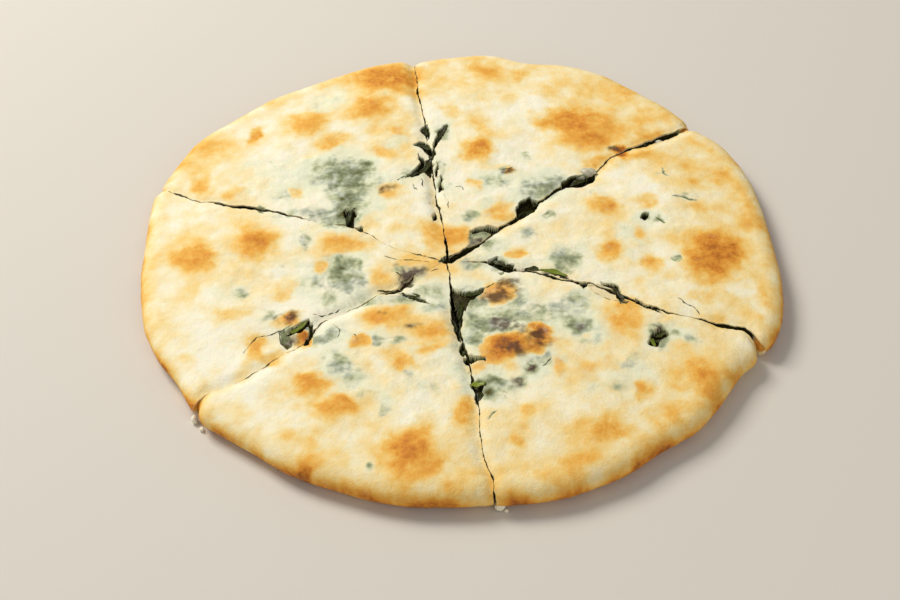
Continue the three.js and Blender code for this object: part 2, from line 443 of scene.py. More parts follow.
def remap(
    tree: Tree, value: object, low: float, high: float, to_low: float = 0.0, to_high: float = 1.0
) -> Socket:
    """Carry a value's range from low and high to another range along a smooth step.

    Args:
        tree: The node tree.
        value: The output to read.
        low: The value that becomes to_low.
        high: The value that becomes to_high.
        to_low: The new range's start.
        to_high: The new range's end.

    Returns:
        The new value's output.
    """
    settings = {"interpolation_type": "SMOOTHSTEP"}
    inputs = {"Value": value, "From Min": low, "From Max": high, "To Min": to_low, "To Max": to_high}
    return add_node(tree, "ShaderNodeMapRange", settings, inputs).outputs["Result"]


def mathematics(tree: Tree, operation: str, *values: object) -> Socket:
    """Work out a sum, a product or another operation of values and outputs."""
    return add_node(tree, "ShaderNodeMath", {"operation": operation}, dict(enumerate(values))).outputs[0]


def relief(tree: Tree, height: Socket, strength: float, depth_mm: float) -> Socket:
    """Turn a height pattern into a normal, for relief that is too fine for the mesh.

    Args:
        tree: The node tree.
        height: The pattern's output.
        strength: How strongly it shows.
        depth_mm: How deep it is for a rise of 1.

    Returns:
        The normal's output.
    """
    inputs = {"Strength": strength, "Distance": depth_mm * MM, "Height": height}
    return add_node(tree, "ShaderNodeBump", None, inputs).outputs[0]


def colour_scale(tree: Tree, value: Socket, stops: tuple[tuple[float, str], ...]) -> Socket:
    """Read a colour off a scale that starts at 0.

    Args:
        tree: The node tree.
        value: The output to read the scale by.
        stops: Each stop's value and colour, rising; the last value is the scale's end.

    Returns:
        The colour's output.
    """
    end = stops[-1][0]
    node = add_node(tree, "ShaderNodeValToRGB", None, {"Fac": mathematics(tree, "DIVIDE", value, end)})
    elements = node.color_ramp.elements
    elements[0].color = colour(stops[0][1])
    elements[1].color = colour(stops[-1][1])
    for at, tint in stops[1:-1]:
        elements.new(at / end).color = colour(tint)
    return node.outputs["Color"]


@dataclass(frozen=True)
class Pattern:
    """A random pattern on the piece's own coordinates, with features of a size in millimetres."""

    size: float
    detail: float = 3.0
    roughness: float = 0.55
    distortion: float = 0.0

    def output(self, tree: Tree, coordinates: Socket) -> Socket:
        """Add the pattern to a tree and give its value, from 0 to 1."""
        inputs = {
            "Vector": coordinates,
            "Scale": per_metre(self.size),
            "Detail": self.detail,
            "Roughness": self.roughness,
            "Distortion": self.distortion,
        }
        return add_node(tree, "ShaderNodeTexNoise", None, inputs).outputs[0]

    def swing(self, tree: Tree, coordinates: Socket) -> Socket:
        """Add the pattern and give its swing about its mean, four times its value less two."""
        return mathematics(tree, "MULTIPLY_ADD", self.output(tree, coordinates), 4.0, -2.0)


def point_value(tree: Tree, key: Field) -> Socket:
    """Read a field that the surface carries at each point."""
    return add_node(tree, "ShaderNodeAttribute", {"attribute_name": key.value}).outputs["Fac"]


def new_material(name: str) -> tuple[Material, Tree, bpy.types.Node]:
    """Make an empty node material with its shader joined to its output.

    Args:
        name: The material's name.

    Returns:
        The material, its tree and its shader node.
    """
    material = bpy.data.materials.new(name)
    material.use_nodes = True
    tree = material.node_tree
    tree.nodes.clear()
    shader = add_node(tree, "ShaderNodeBsdfPrincipled")
    add_node(tree, "ShaderNodeOutputMaterial", None, {"Surface": shader.outputs[0]})
    return material, tree, shader


@dataclass(frozen=True)
class BakedDough:
    """Thin wheat dough baked dry in a pan.

    It gives the eye a matt, floury skin whose colour runs on one scale from cream through gold to brown and
    char as it baked against the hot metal, and a cool, cloudy pattern of grey-green and white where leaves
    and cheese show through it. Its darkest greens are also painted shade inside tears and cut gaps.
    """

    bake: tuple[tuple[float, str], ...] = (
        (0.0, "#FAF6E0"),
        (0.12, "#F9F0CE"),
        (0.25, "#F8E6B4"),
        (0.38, "#F6DA96"),
        (0.5, "#F4CB76"),
        (0.62, "#EFB755"),
        (0.75, "#E5A03D"),
        (0.88, "#D2862D"),
        (1.0, "#B06821"),
        (1.2, "#723E18"),
    )
    milky: str = "#E8EDD2"
    veil: str = "#BBC29B"
    cool_veil: str = "#B7BFAE"
    shadow: str = "#7F8867"
    stalk: str = "#7B6A62"
    wine: str = "#4A3428"
    deep: str = "#564E1A"
    leaf: str = "#1F1A02"
    crumb: str = "#EADDB6"
    grain: Pattern = Pattern(0.9, 2.0, 0.6)
    speckle: Pattern = Pattern(2.0, 3.0, 0.6)
    mottle: Pattern = Pattern(7.0, 3.0, 0.55, 0.2)
    leaves: Pattern = Pattern(7.0, 2.0, 0.5, 0.3)
    curds: Pattern = Pattern(3.6, 2.0, 0.5, 0.2)
    tints: Pattern = Pattern(10.0, 2.0, 0.5, 0.3)
    drift: Pattern = Pattern(24.0, 3.0, 0.5)

    def material(self, name: str = "baked wheat dough") -> Material:
        """Make the material.

        How far a point has baked is its blush plus its browning's share of what is left up to 1, mottled
        and speckled. That is read off the scale. Where the crust is thin the colour goes milky, then takes
        the leaves' veil, shadow and flecks, some of them cooler or tinted by purple stalks; the darkest
        flecks are also painted shade inside tears and cut gaps. Last comes the crumb of a torn or cut edge.

        Args:
            name: The material's name.

        Returns:
            The material.
        """
        material, tree, shader = new_material(name)
        place = add_node(tree, "ShaderNodeTexCoord").outputs["Object"]
        patterns = (self.grain, self.speckle, self.mottle, self.leaves, self.curds, self.tints, self.drift)
        grain, speckle, mottle, leaves, curds, tints, drift = (p.swing(tree, place) for p in patterns)
        browning, greens, thin, blush, crumb, purple = (point_value(tree, key) for key in CRUST_FIELDS)

        def summed(base: Socket, *parts: tuple[Socket, float]) -> Socket:
            """Add patterns to a value, each times its share.

            Args:
                base: The value.
                parts: Each pattern and its share.

            Returns:
                The sum's output.
            """
            for pattern, share in parts:
                base = mathematics(tree, "MULTIPLY_ADD", pattern, share, base)
            return base

        left = mathematics(tree, "SUBTRACT", 1.0, blush)
        baked = mathematics(tree, "MULTIPLY_ADD", browning, left, blush)
        baked = summed(baked, (mottle, 0.09), (speckle, 0.04), (grain, 0.02), (drift, 0.05))
        spotted = mathematics(tree, "MULTIPLY", browning, summed(speckle, (mottle, 0.8)))
        baked = summed(baked, (spotted, 0.08))
        skin = colour_scale(tree, baked, self.bake)

        # The leaves' pattern is strong only where there are leaves, and faint where the crust is merely
        # thin.
        sheer = summed(thin, (leaves, 0.14), (curds, 0.1), (speckle, 0.04))
        skin = blend(tree, remap(tree, sheer, 0.05, 0.75, 0.0, 0.9), skin, colour(self.milky))
        depth = summed(greens, (leaves, 0.42), (curds, -0.26), (speckle, 0.12), (grain, 0.05))
        depth = mathematics(tree, "MULTIPLY", depth, remap(tree, greens, 0.0, 0.35))
        veil = blend(tree, remap(tree, tints, -0.2, 0.5), colour(self.veil), colour(self.cool_veil))
        stalks = summed(purple, (tints, 0.5))
        mottled = mathematics(tree, "ADD", tints, 0.9)
        shade = blend(tree, remap(tree, stalks, 0.3, 0.8), colour(self.shadow), colour(self.stalk))
        skin = blend(tree, remap(tree, depth, 0.0, 0.62, 0.0, 0.9), skin, veil)
        skin = blend(tree, remap(tree, depth, 0.38, 1.0), skin, shade)
        # The deep and leaf colours are partly leaf flecks under the crust and partly painted shade in tears
        # and cut gaps.
        skin = blend(tree, remap(tree, depth, 0.85, 1.3), skin, colour(self.deep))
        skin = blend(tree, remap(tree, depth, 1.15, 1.5), skin, colour(self.leaf))
        stained = mathematics(tree, "MULTIPLY", purple, summed(mottled, (curds, -0.5), (speckle, 0.25)))
        skin = blend(tree, remap(tree, stained, 0.05, 0.85, 0.0, 0.85), skin, colour(self.wine))
        skin = blend(tree, mathematics(tree, "MULTIPLY", crumb, 0.85), skin, colour(self.crumb))

        settings = {
            "Base Color": skin,
            "Normal": relief(tree, summed(grain, (speckle, 0.9), (mottle, 2.2)), 0.4, 0.14),
            "Roughness": remap(tree, baked, 0.4, 1.0, 0.8, 0.62),
            "IOR": 1.42,
            "Specular IOR Level": 0.25,
            "Subsurface Weight": 0.12,
            "Subsurface Radius": (1.0, 0.62, 0.32),
            "Subsurface Scale": 1.4 * MM,
        }
        feed(tree, shader, settings)
        return material


@dataclass(frozen=True)
class ChoppedGreens:
    """Chopped spinach and beet leaves pressed together with crumbled white cheese.

    It gives the eye a dark, moist mass of overlapping green shreds with yellower leaves among them, purple
    stalks here and there, and dull white crumbs of cheese. Its greens are partly their own colour and
    partly painted shade of the holes and gaps where the filling shows.
    """

    shade: str = "#191500"
    leaf: str = "#343007"
    young: str = "#5B561C"
    stalk: str = "#3A2620"
    cheese: str = "#B5B190"
    shreds: Pattern = Pattern(1.7, 4.0, 0.7, 0.8)
    clumps: Pattern = Pattern(7.0, 3.0, 0.55)
    crumbs: Pattern = Pattern(4.6, 2.0, 0.5)

    def material(self, name: str = "chopped greens") -> Material:
        """Make the material: shreds of three greens, partly painted shade, stalks in some clumps and cheese
        in others.

        Args:
            name: The material's name.

        Returns:
            The material.
        """
        material, tree, shader = new_material(name)
        place = add_node(tree, "ShaderNodeTexCoord").outputs["Object"]
        shreds, clumps, crumbs = (
            pattern.output(tree, place) for pattern in (self.shreds, self.clumps, self.crumbs)
        )
        # The three greens are partly the leaves' own colours and partly painted shade of the holes and gaps
        # that the filling lies in.
        mass = blend(tree, remap(tree, shreds, 0.32, 0.54), colour(self.shade), colour(self.leaf))
        mass = blend(tree, remap(tree, shreds, 0.52, 0.7, 0.0, 0.85), mass, colour(self.young))
        mass = blend(tree, remap(tree, clumps, 0.64, 0.74, 0.0, 0.7), mass, colour(self.stalk))
        mass = blend(tree, remap(tree, crumbs, 0.67, 0.74, 0.0, 0.8), mass, colour(self.cheese))
        height = mathematics(tree, "MULTIPLY_ADD", crumbs, 0.8, shreds)
        settings = {
            "Base Color": mass,
            "Normal": relief(tree, height, 0.9, 0.8),
            "Roughness": 0.55,
            "IOR": 1.4,
            "Specular IOR Level": 0.3,
            "Subsurface Weight": 0.05,
            "Subsurface Scale": 1.0 * MM,
        }
        feed(tree, shader, settings)
        return material


@dataclass(frozen=True)
class WiltedLeaf:
    """A shred of wilted spinach leaf.

    It gives the eye a thin, limp, dark green scrap with a faint gloss and a paler vein pattern; a few young
    ones are bright yellow-green.
    """

    dark: str = "#211F04"
    green: str = "#424A0F"
    bright: str = "#8C9C2C"
    veins: Pattern = Pattern(1.4, 3.0, 0.6, 0.6)

    def material(self, name: str = "wilted leaf") -> Material:
        """Make the material, from dark to bright by each scrap's tone and its vein pattern.

        Args:
            name: The material's name.

        Returns:
            The material.
        """
        material, tree, shader = new_material(name)
        place = add_node(tree, "ShaderNodeTexCoord").outputs["Object"]
        tone = point_value(tree, Field.TONE)
        veins = self.veins.output(tree, place)
        leaf = blend(tree, remap(tree, veins, 0.35, 0.7), colour(self.dark), colour(self.green))
        leaf = blend(tree, remap(tree, tone, 0.35, 1.0), leaf, colour(self.bright))
        settings = {
            "Base Color": leaf,
            "Normal": relief(tree, veins, 0.5, 0.3),
            "Roughness": 0.42,
            "IOR": 1.4,
            "Subsurface Weight": 0.12,
            "Subsurface Scale": 0.6 * MM,
        }
        feed(tree, shader, settings)
        return material


@dataclass(frozen=True)
class WhiteCheese:
    """Fresh brined white cheese, softened in the oven.

    It gives the eye a dull off-white lump that lets a little light in and has a fine, wet grain.
    """

    curd: str = "#D9D5BF"
    whey: str = "#B9B79F"
    curds: Pattern = Pattern(1.8, 3.0, 0.6)

    def material(self, name: str = "white cheese") -> Material:
        """Make the material: two off-whites over a curd pattern, with light carried inside.

        Args:
            name: The material's name.

        Returns:
            The material.
        """
        material, tree, shader = new_material(name)
        place = add_node(tree, "ShaderNodeTexCoord").outputs["Object"]
        curds = self.curds.output(tree, place)
        settings = {
            "Base Color": blend(tree, remap(tree, curds, 0.35, 0.65), colour(self.whey), colour(self.curd)),
            "Normal": relief(tree, curds, 0.5, 0.3),
            "Roughness": 0.5,
            "Subsurface Weight": 0.35,
            "Subsurface Scale": 2.0 * MM,
        }
        feed(tree, shader, settings)
        return material


@dataclass(frozen=True)
class StudioPaint:
    """Pale matt paint on the studio floor, with nothing on it to look at."""

    tint: str = "#D9D5CD"

    def material(self, name: str = "studio floor paint") -> Material:
        """Make the material: one even matt tint.

        Args:
            name: The material's name.

        Returns:
            The material.
        """
        material, tree, shader = new_material(name)
        feed(tree, shader, {"Base Color": colour(self.tint), "Roughness": 0.9})
        return material


# ----------------------------------------------------------------------------
# The bread's plan: cuts, slices, spots and tears
# ----------------------------------------------------------------------------


@dataclass(frozen=True)
class KnifeCut:
    """One knife cut from where the cuts cross out to the rim.

    angle is in degrees from +X. wander is how far the cut strays to its counter-clockwise side and gap how
    far it has opened, both at even steps outwards. The lips are how much more than usual the knife pressed
    the crust down on the slice that starts at the cut and on the one that ends there, and the pulls how far
    it drew in their rims' corners. crust is how much of the top crust's own crumb shows clean on its faces.
    """

    angle: float
    wander: tuple[float, ...]
    gap: tuple[float, ...]
    start_lip: float = 1.0
    end_lip: float = 1.0
    start_pull: float = 1.0
    end_pull: float = 1.0
    crust: float = 0.75
    seed: int = 0

    def bearing(self, distance: Array, edge: Edge, turns: int, proud: float = 0.0) -> Array:
        """Give the angle at which one face of the cut lies, at distances from the crossing.

        It is the straight cut's angle plus the arc tangent of the sideways offset over the distance. The
        offset is the wander, half the gap and a fine random fraying that mostly opens the cut.

        Args:
            distance: Distances from the crossing.
            edge: Which slice's face, by its side of the cut.
            turns: Whole turns to add, so that angles rise from slice to slice.
            proud: How far the face stands out of the dough's into the gap.

        Returns:
            Angles in radians.
        """
        straight = math.radians(self.angle) + turns * 2.0 * math.pi
        share = distance / circle_distance(straight)
        flat = distance * 0.0
        seed = 10 * self.seed + (0 if edge is Edge.START else 5)
        half_gap = 0.5 * through(self.gap, share)
        if proud:
            frayed = 0.35 * layered_noise(distance, flat, 3.2, Seed.FRAYED_FILLING + seed, 3)
            half_gap = half_gap - proud + frayed
        else:
            frayed = layered_noise(distance, flat, 3.8, Seed.FRAYED + seed, 3)
            fringe = layered_noise(distance, flat, 1.6, Seed.FRAYED + seed + 3, 2)
            half_gap = half_gap - 0.14 + 0.44 * np.maximum(frayed, -0.5) + 0.26 * fringe
        strays = 0.35 * layered_noise(distance, flat, 6.0, Seed.STRAYING + self.seed, 3)
        aside = through(self.wander, share) + strays + edge.value * np.maximum(half_gap, 0.1)
        return straight + np.arctan2(aside, distance)


def circle_distance(angle: Array | float) -> Array:
    """Give the distance from the cuts' crossing to the mean circle of the rim, in the direction of an angle.

    It is the positive root of the quadratic for a ray from the crossing to the circle round the origin.
    """
    along = CROSSING[0] * np.cos(angle) + CROSSING[1] * np.sin(angle)
    return -along + np.sqrt(along**2 - CROSSING[0] ** 2 - CROSSING[1] ** 2 + RIM_RADIUS**2)


@dataclass(frozen=True)
class Patch:
    """An oval patch of the top crust: its middle, its half sizes along X and Y, and its strength."""

    x: float
    y: float
    half_x: float
    half_y: float
    strength: float


def patches(*rows: tuple[float, float, float, float, float]) -> tuple[Patch, ...]:
    """Make patches from rows of their values."""
    return tuple(Patch(*row) for row in rows)


def patch_field(
    x: Array,
    y: Array,
    group: tuple[Patch, ...],
    stray: float,
    core: float,
    fade: float,
    seed: int,
    layers: int = 3,
) -> Array:
    """Give how strongly patches cover points, with random outlines.

    A point's reach from a patch is the root of the sum of the squares of its offsets over the half sizes,
    after the point has strayed at random. The cover falls smoothly from the patch's strength at core to
    nothing at fade, and covers join as one less the product of what each leaves bare.

    Args:
        x: Positions.
        y: Positions.
        group: The patches.
        stray: How far outlines stray, in millimetres.
        core: Reach up to which the cover is full.
        fade: Reach at which it ends.
        seed: Chooses the straying.
        layers: How many fields of noise the straying has; more make outlines finer.

    Returns:
        Cover from 0 to 1.
    """
    wx = x + stray * layered_noise(x, y, 9.0, seed, layers)
    wy = y + stray * layered_noise(x, y, 9.0, seed + 50, layers)
    bare = np.ones(np.broadcast(x, y).shape)
    for patch in group:
        reach = np.hypot((wx - patch.x) / patch.half_x, (wy - patch.y) / patch.half_y)
        bare *= 1.0 - patch.strength * ramp(reach, fade, core)
    return 1.0 - bare


CUTS = (
    KnifeCut(
        angle=-21.2,
        wander=(0, 3, 6, 5.5, 6.5, 5.5, 5.5, 6.5, 5, 2, 0, -1, 0, 0, 1.2, -5),
        gap=(0.3, 0.4, 2.1, 2, 2, 1.8, 1, 0.9, 1.6, 1.3, 1.3, 0.4, 0.6, 1.5, 2, 2.2),
        end_lip=1.6,
        start_pull=1.6,
        end_pull=3.5,
        crust=0.4,
        seed=1,
    ),
    KnifeCut(
        angle=39,
        wander=(0, -1, -1, 0.5, 0.5, 2, 2, 2.5, -1, 0, 2, 1, -2, -3.5, -4.5, -4.5),
        gap=(4.6, 4.6, 2.0, 1.9, 2.6, 2.5, 1.9, 1.9, 3.5, 1.4, 0.8, 1.3, 3.2, 3.7, 2.4, 0.9),
        start_lip=0.6,
        end_lip=1.6,
        start_pull=1.5,
        end_pull=1.5,
        seed=2,
    ),
    KnifeCut(
        angle=94.6,
        wander=(-1, -1.5, -1.5, -1.5, -0.5, -0.5, -0.5, -0.5, 0, -0.5, -0.5, 0, 0.5, 0, 0, 0),
        gap=(1.8, 1.6, 0.8, 0.6, 0.9, 0.7, 1.4, 1.4, 1, 1.2, 0.5, 0.5, 1.3, 0.8, 0.3, 0.3),
        start_lip=2.6,
        end_lip=0.6,
        start_pull=3.0,
        end_pull=1.5,
        seed=3,
    ),
    KnifeCut(
        angle=156,
        wander=(1, 0, 0, -0.5, -4.5, -6.5, -5, -3.5, -3, -3, -2.5, -0.5, 0, 2, 0.5, -1),
        gap=(0.6, 0.7, 0.3, 0.4, 0.5, 1.4, 0.8, 0.7, 1.6, 1.9, 2.6, 2.6, 1.7, 1.2, 1.6, 0.7),
        start_lip=0.6,
        end_lip=0.8,
        end_pull=1.5,
        seed=4,
    ),
    KnifeCut(
        angle=215,
        wander=(0, 0, 0, 1, -2, -1.5, -1.5, -3, 0.5, 3.5, 3.5, 4.5, 4, 3, 1, 1.5),
        gap=(0.3, 0.3, 0.6, 2, 1.3, 1, 1.1, 1.1, 2, 1.3, 0.9, 1.2, 0.9, 0.3, 0.3, 0.3),
        start_lip=1.6,
        end_lip=2.0,
        start_pull=5.0,
        end_pull=0.0,
        seed=5,
    ),
    KnifeCut(
        angle=276.5,
        wander=(0.5, 0.5, 0, -0.5, 0, 0, 0, 1, 1, 1, 1, 0, -0.5, -0.5, 1, 0.5),
        gap=(1.1, 1.1, 1.6, 2, 3, 1.3, 1.1, 1.1, 1, 1.6, 0.6, 0.4, 0.3, 0.3, 0.6, 0.9),
        start_lip=0.8,
        end_lip=2.6,
        start_pull=0.5,
        end_pull=0.5,
        crust=1.0,
        seed=6,
    ),
)

# In each table of patches a row is a patch's middle, its half sizes along X and Y, and its strength.

# Browned spots, where the crust lay against the pan: strength is how far a spot takes its place towards
# brown.
BROWNED = patches(
    (-32, 128, 19.5, 12.4, 0.72), (-40, 102, 13, 10, 0.56), (-72, 93, 12, 11.5, 0.52),
    (-58, 77, 8, 6, 0.42), (-98, 87, 3.6, 8, 0.55), (-122, 50, 5, 7, 0.42), (-27, 83, 5.5, 5.5, 0.33),
    (-31, 66, 5.5, 5.5, 0.34), (-32, 38, 8, 8, 0.35), (-77, 39, 5, 5, 0.38), (-106, 40, 5, 4, 0.28),
    (-10, 6, 6.5, 8, 0.47), (-118, 75, 9, 9.6, 0.15), (60, 85, 13, 12.4, 0.5), (74, 77, 14, 13, 0.42),
    (57, 87, 9, 8, 0.34), (11, 64.5, 9.4, 9.6, 0.7), (21, 133, 10, 9, 0.3), (1, 98, 6, 5, 0.28),
    (12, 91, 5.5, 8.4, 0.3), (22, 20, 5.5, 8, 0.34), (1, 2, 6.5, 7, 0.5), (30, 108, 5, 5, 0.22),
    (11, 40, 5, 5.5, 0.42), (37, 127, 4.5, 4.5, 0.2), (81, 60, 3.8, 3.2, 0.95),
    (118, -18, 15.5, 17.5, 0.66), (118, -16, 11, 13, 0.35), (68, 20, 9, 8.5, 0.48),
    (71, -13, 6.5, 7.5, 0.42), (88, -22, 6, 6.2, 0.5), (26, -10, 5.4, 4.6, 0.43), (92, 23, 5.5, 6.5, 0.4),
    (113, 46, 5, 5.5, 0.14), (126, 37, 6, 7, 0.25), (107, -44, 4, 5, 0.25), (85, -3, 4.6, 5.5, 0.38),
    (112, -57, 4, 3, 0.18), (136, -41, 4, 16, 0.16), (18, -72, 10, 8.6, 0.62), (36, -66, 8, 8.8, 0.62),
    (27, -70, 10.5, 6.4, 0.56), (18, -37, 9, 8, 0.6), (72, -53, 7, 9, 0.4), (75, -95, 5.5, 6, 0.48),
    (101, -94, 8.2, 8.4, 0.46), (59, -116, 6.6, 7.5, 0.5), (26, -109, 6, 5, 0.38), (21, -122, 5, 4.2, 0.24),
    (41, -84, 4.4, 6.4, 0.35), (46, -132, 8, 4.5, 0.3), (76, -127, 12, 5.5, 0.22),
    (-21, -125, 13.4, 10, 0.68), (-52, -100, 6.6, 6.2, 0.58), (-63, -86, 6.8, 5.8, 0.52),
    (-32, -48, 11.5, 7.5, 0.45), (-42, -63, 4.2, 5.6, 0.56), (-13, -58, 11, 4.6, 0.3),
    (-12, -68, 7.4, 5, 0.42), (0, -104, 5.2, 8.6, 0.52), (-31, -73, 5, 4.8, 0.26), (-22, -76, 6, 5.6, 0.5),
    (-41, -79, 3.6, 4.3, 0.22), (-67, -134, 4, 3, 0.85), (-93, 3, 11.4, 10.6, 0.48),
    (-120, -1.6, 9.4, 11.6, 0.57), (-52, 0, 12, 6.6, 0.45), (-100, -41, 5.6, 4.6, 0.28),
    (-80, -31, 4.6, 5.8, 0.38), (-75, -24, 4.3, 4.1, 0.26), (-61, -13, 5.4, 7.6, 0.44),
    (-89, -65, 5.6, 7.4, 0.5), (-34, -23, 4.8, 6.2, 0.3), (-25, -12, 4.8, 4.9, 0.2),
    (-71, -46, 4.6, 4.4, 0.66), (-68.8, -58.2, 3.2, 5, 0.66), (-80, -69.5, 6, 3.6, 0.4),
    (64, 68, 11, 8, 0.36), (44, 84, 6, 5, 0.26), (26, 48, 4, 3, 0.45), (16, 78, 5, 9, 0.25),
    (17, -71, 6, 5, 0.6), (35, -62, 5, 6.5, 0.6), (-68.6, -58.4, 3.6, 4.6, 0.75),
    (-74.8, -47.5, 6.4, 5, 0.42), (43, 86, 7, 8, 0.3), (90, -105, 9, 5, 0.3), (99, 72, 7, 4, 0.35),
    (70, 52, 8, 4.6, 0.36), (-41, 14, 5, 4.6, 0.26), (8, -80.5, 5.5, 3.6, 0.3), (80, -112, 9, 5, 0.28),
    (-6, -18.5, 4, 4, 0.26), (33, -74.5, 6, 4.4, 0.5), (92, 57, 8, 4, 0.28), (25, 13.5, 6, 4, 0.28),
    (20, 53, 7, 5, 0.2), (-6, -5, 6, 6, 0.34),
)

# Places where purple stalks show through the crust.
STALKS = patches(
    (24.4, -28.2, 5, 3.4, 0.6), (21, -35.5, 8, 7, 0.85), (19, -72, 9, 6, 0.45), (17.6, -54.4, 4.5, 4, 0.6),
    (23.2, -71.6, 4.5, 3.6, 0.45), (34.2, -65.3, 5.6, 6, 0.8), (29.7, -81.9, 3.6, 3.4, 0.95),
    (52.1, -59.4, 3.6, 4.2, 0.4), (22.9, -90.2, 4.4, 3.6, 0.55), (86.8, -62.2, 2.8, 2.6, 0.95),
    (-23.8, -25.6, 4.4, 3.6, 0.95), (-20, -56, 5, 2.2, 0.6), (-27.2, -15.2, 2.6, 2.4, 0.55),
    (-76, -46.8, 5, 4, 1), (78.8, 61.4, 3.4, 2.4, 0.8), (-32, 38, 4.5, 3.4, 0.8), (-33, -46, 3, 1.8, 0.9),
    (26, 48, 4, 2.6, 0.8), (-24, -21, 4, 3.6, 0.6), (27, -67, 15, 10, 0.3), (24, -90.5, 3, 2.6, 0.5),
    (-72, -61, 5, 4, 0.6), (11, 1, 6, 5, 0.9), (-74.8, -48, 6, 5, 0.6), (-18, -20, 6, 4, 0.5),
    (14, -39.5, 5, 4.4, 0.6), (24, -59, 6, 4, 0.6), (15, -3.4, 4, 3, 0.4),
)

# Wide stretches where the top crust is thin over the filling.
SHEER = patches(
    (-60, 46, 38, 30, 0.8), (-92, 60, 18, 18, 0.4), (-26, 62, 12, 26, 0.6), (20, 44, 26, 24, 0.8),
    (48, 32, 20, 18, 0.6), (-50, -22, 20, 20, 0.8), (-88, -26, 26, 14, 0.5), (-46, -70, 20, 20, 0.8),
    (-18, -82, 30, 13, 0.7), (-16, -42, 14, 10, 0.5), (18, -50, 28, 26, 0.95), (50, -50, 24, 20, 0.8),
    (26, -84, 22, 12, 0.8), (34, -14, 26, 12, 0.8), (78, 4, 26, 16, 0.5), (66, -88, 16, 14, 0.6),
    (92, -66, 14, 12, 0.5), (-60, 111, 13, 9, 0.8),
)

# Wide stretches that baked a little more than the rest: strength adds to how far the crust has baked.
WARMED = patches(
    (95, 82, 34, 26, 0.17), (66, 64, 26, 14, 0.14), (118, 45, 22, 30, 0.18), (125, 5, 22, 28, 0.09),
    (88, -4, 34, 18, 0.14), (104, -66, 26, 28, 0.2), (62, -80, 32, 34, 0.2), (50, -116, 32, 20, 0.12),
    (-18, -56, 26, 16, 0.14), (-10, -126, 34, 16, 0.2), (-66, -92, 16, 14, 0.12), (-90, -68, 8, 12, 0.16),
    (-112, 66, 20, 24, 0.12), (-30, 116, 14, 22, 0.1), (8, 96, 14, 16, 0.12), (22, 124, 46, 12, 0.16),
    (72, 112, 24, 12, 0.16), (-30, -20, 14, 14, 0.18), (-50, 2, 18, 12, 0.16), (-105, 4, 30, 22, 0.08),
    (10, 12, 20, 18, 0.1), (-63, -121, 14, 9, 0.26), (56, -92, 9, 11, 0.36), (-118, 39, 8, 7, 0.24),
    (-8, -15, 20, 12, 0.36), (12, -24, 9, 7, 0.3), (128, -57, 8, 9, 0.3), (-94, -110, 8, 6, 0.12),
    (109, 34, 11, 9, 0.24), (-28, -140, 32, 7, 0.18), (48, -139, 26, 6, 0.12), (-56, -128, 14, 8, 0.14),
    (89, -30, 10, 9, 0.28), (97, 50, 11, 8, 0.22), (137, 16, 6, 14, 0.28), (90, -99, 8, 6, 0.22),
)

# Stretches that stayed pale: strength takes away from both the tan of the rim and how far the crust has
# baked.
PALE = patches(
    (119, -74, 13, 18, 0.8), (34, -128, 14, 10, 0.55), (-38, -131, 9, 11, 0.55), (5, -146, 9, 7, 0.7),
    (-102, -17, 9, 8, 0.5), (107, 6, 10, 8, 0.5), (-88, -3, 6, 6, 0.5), (65, -117, 7, 7, 0.45),
)

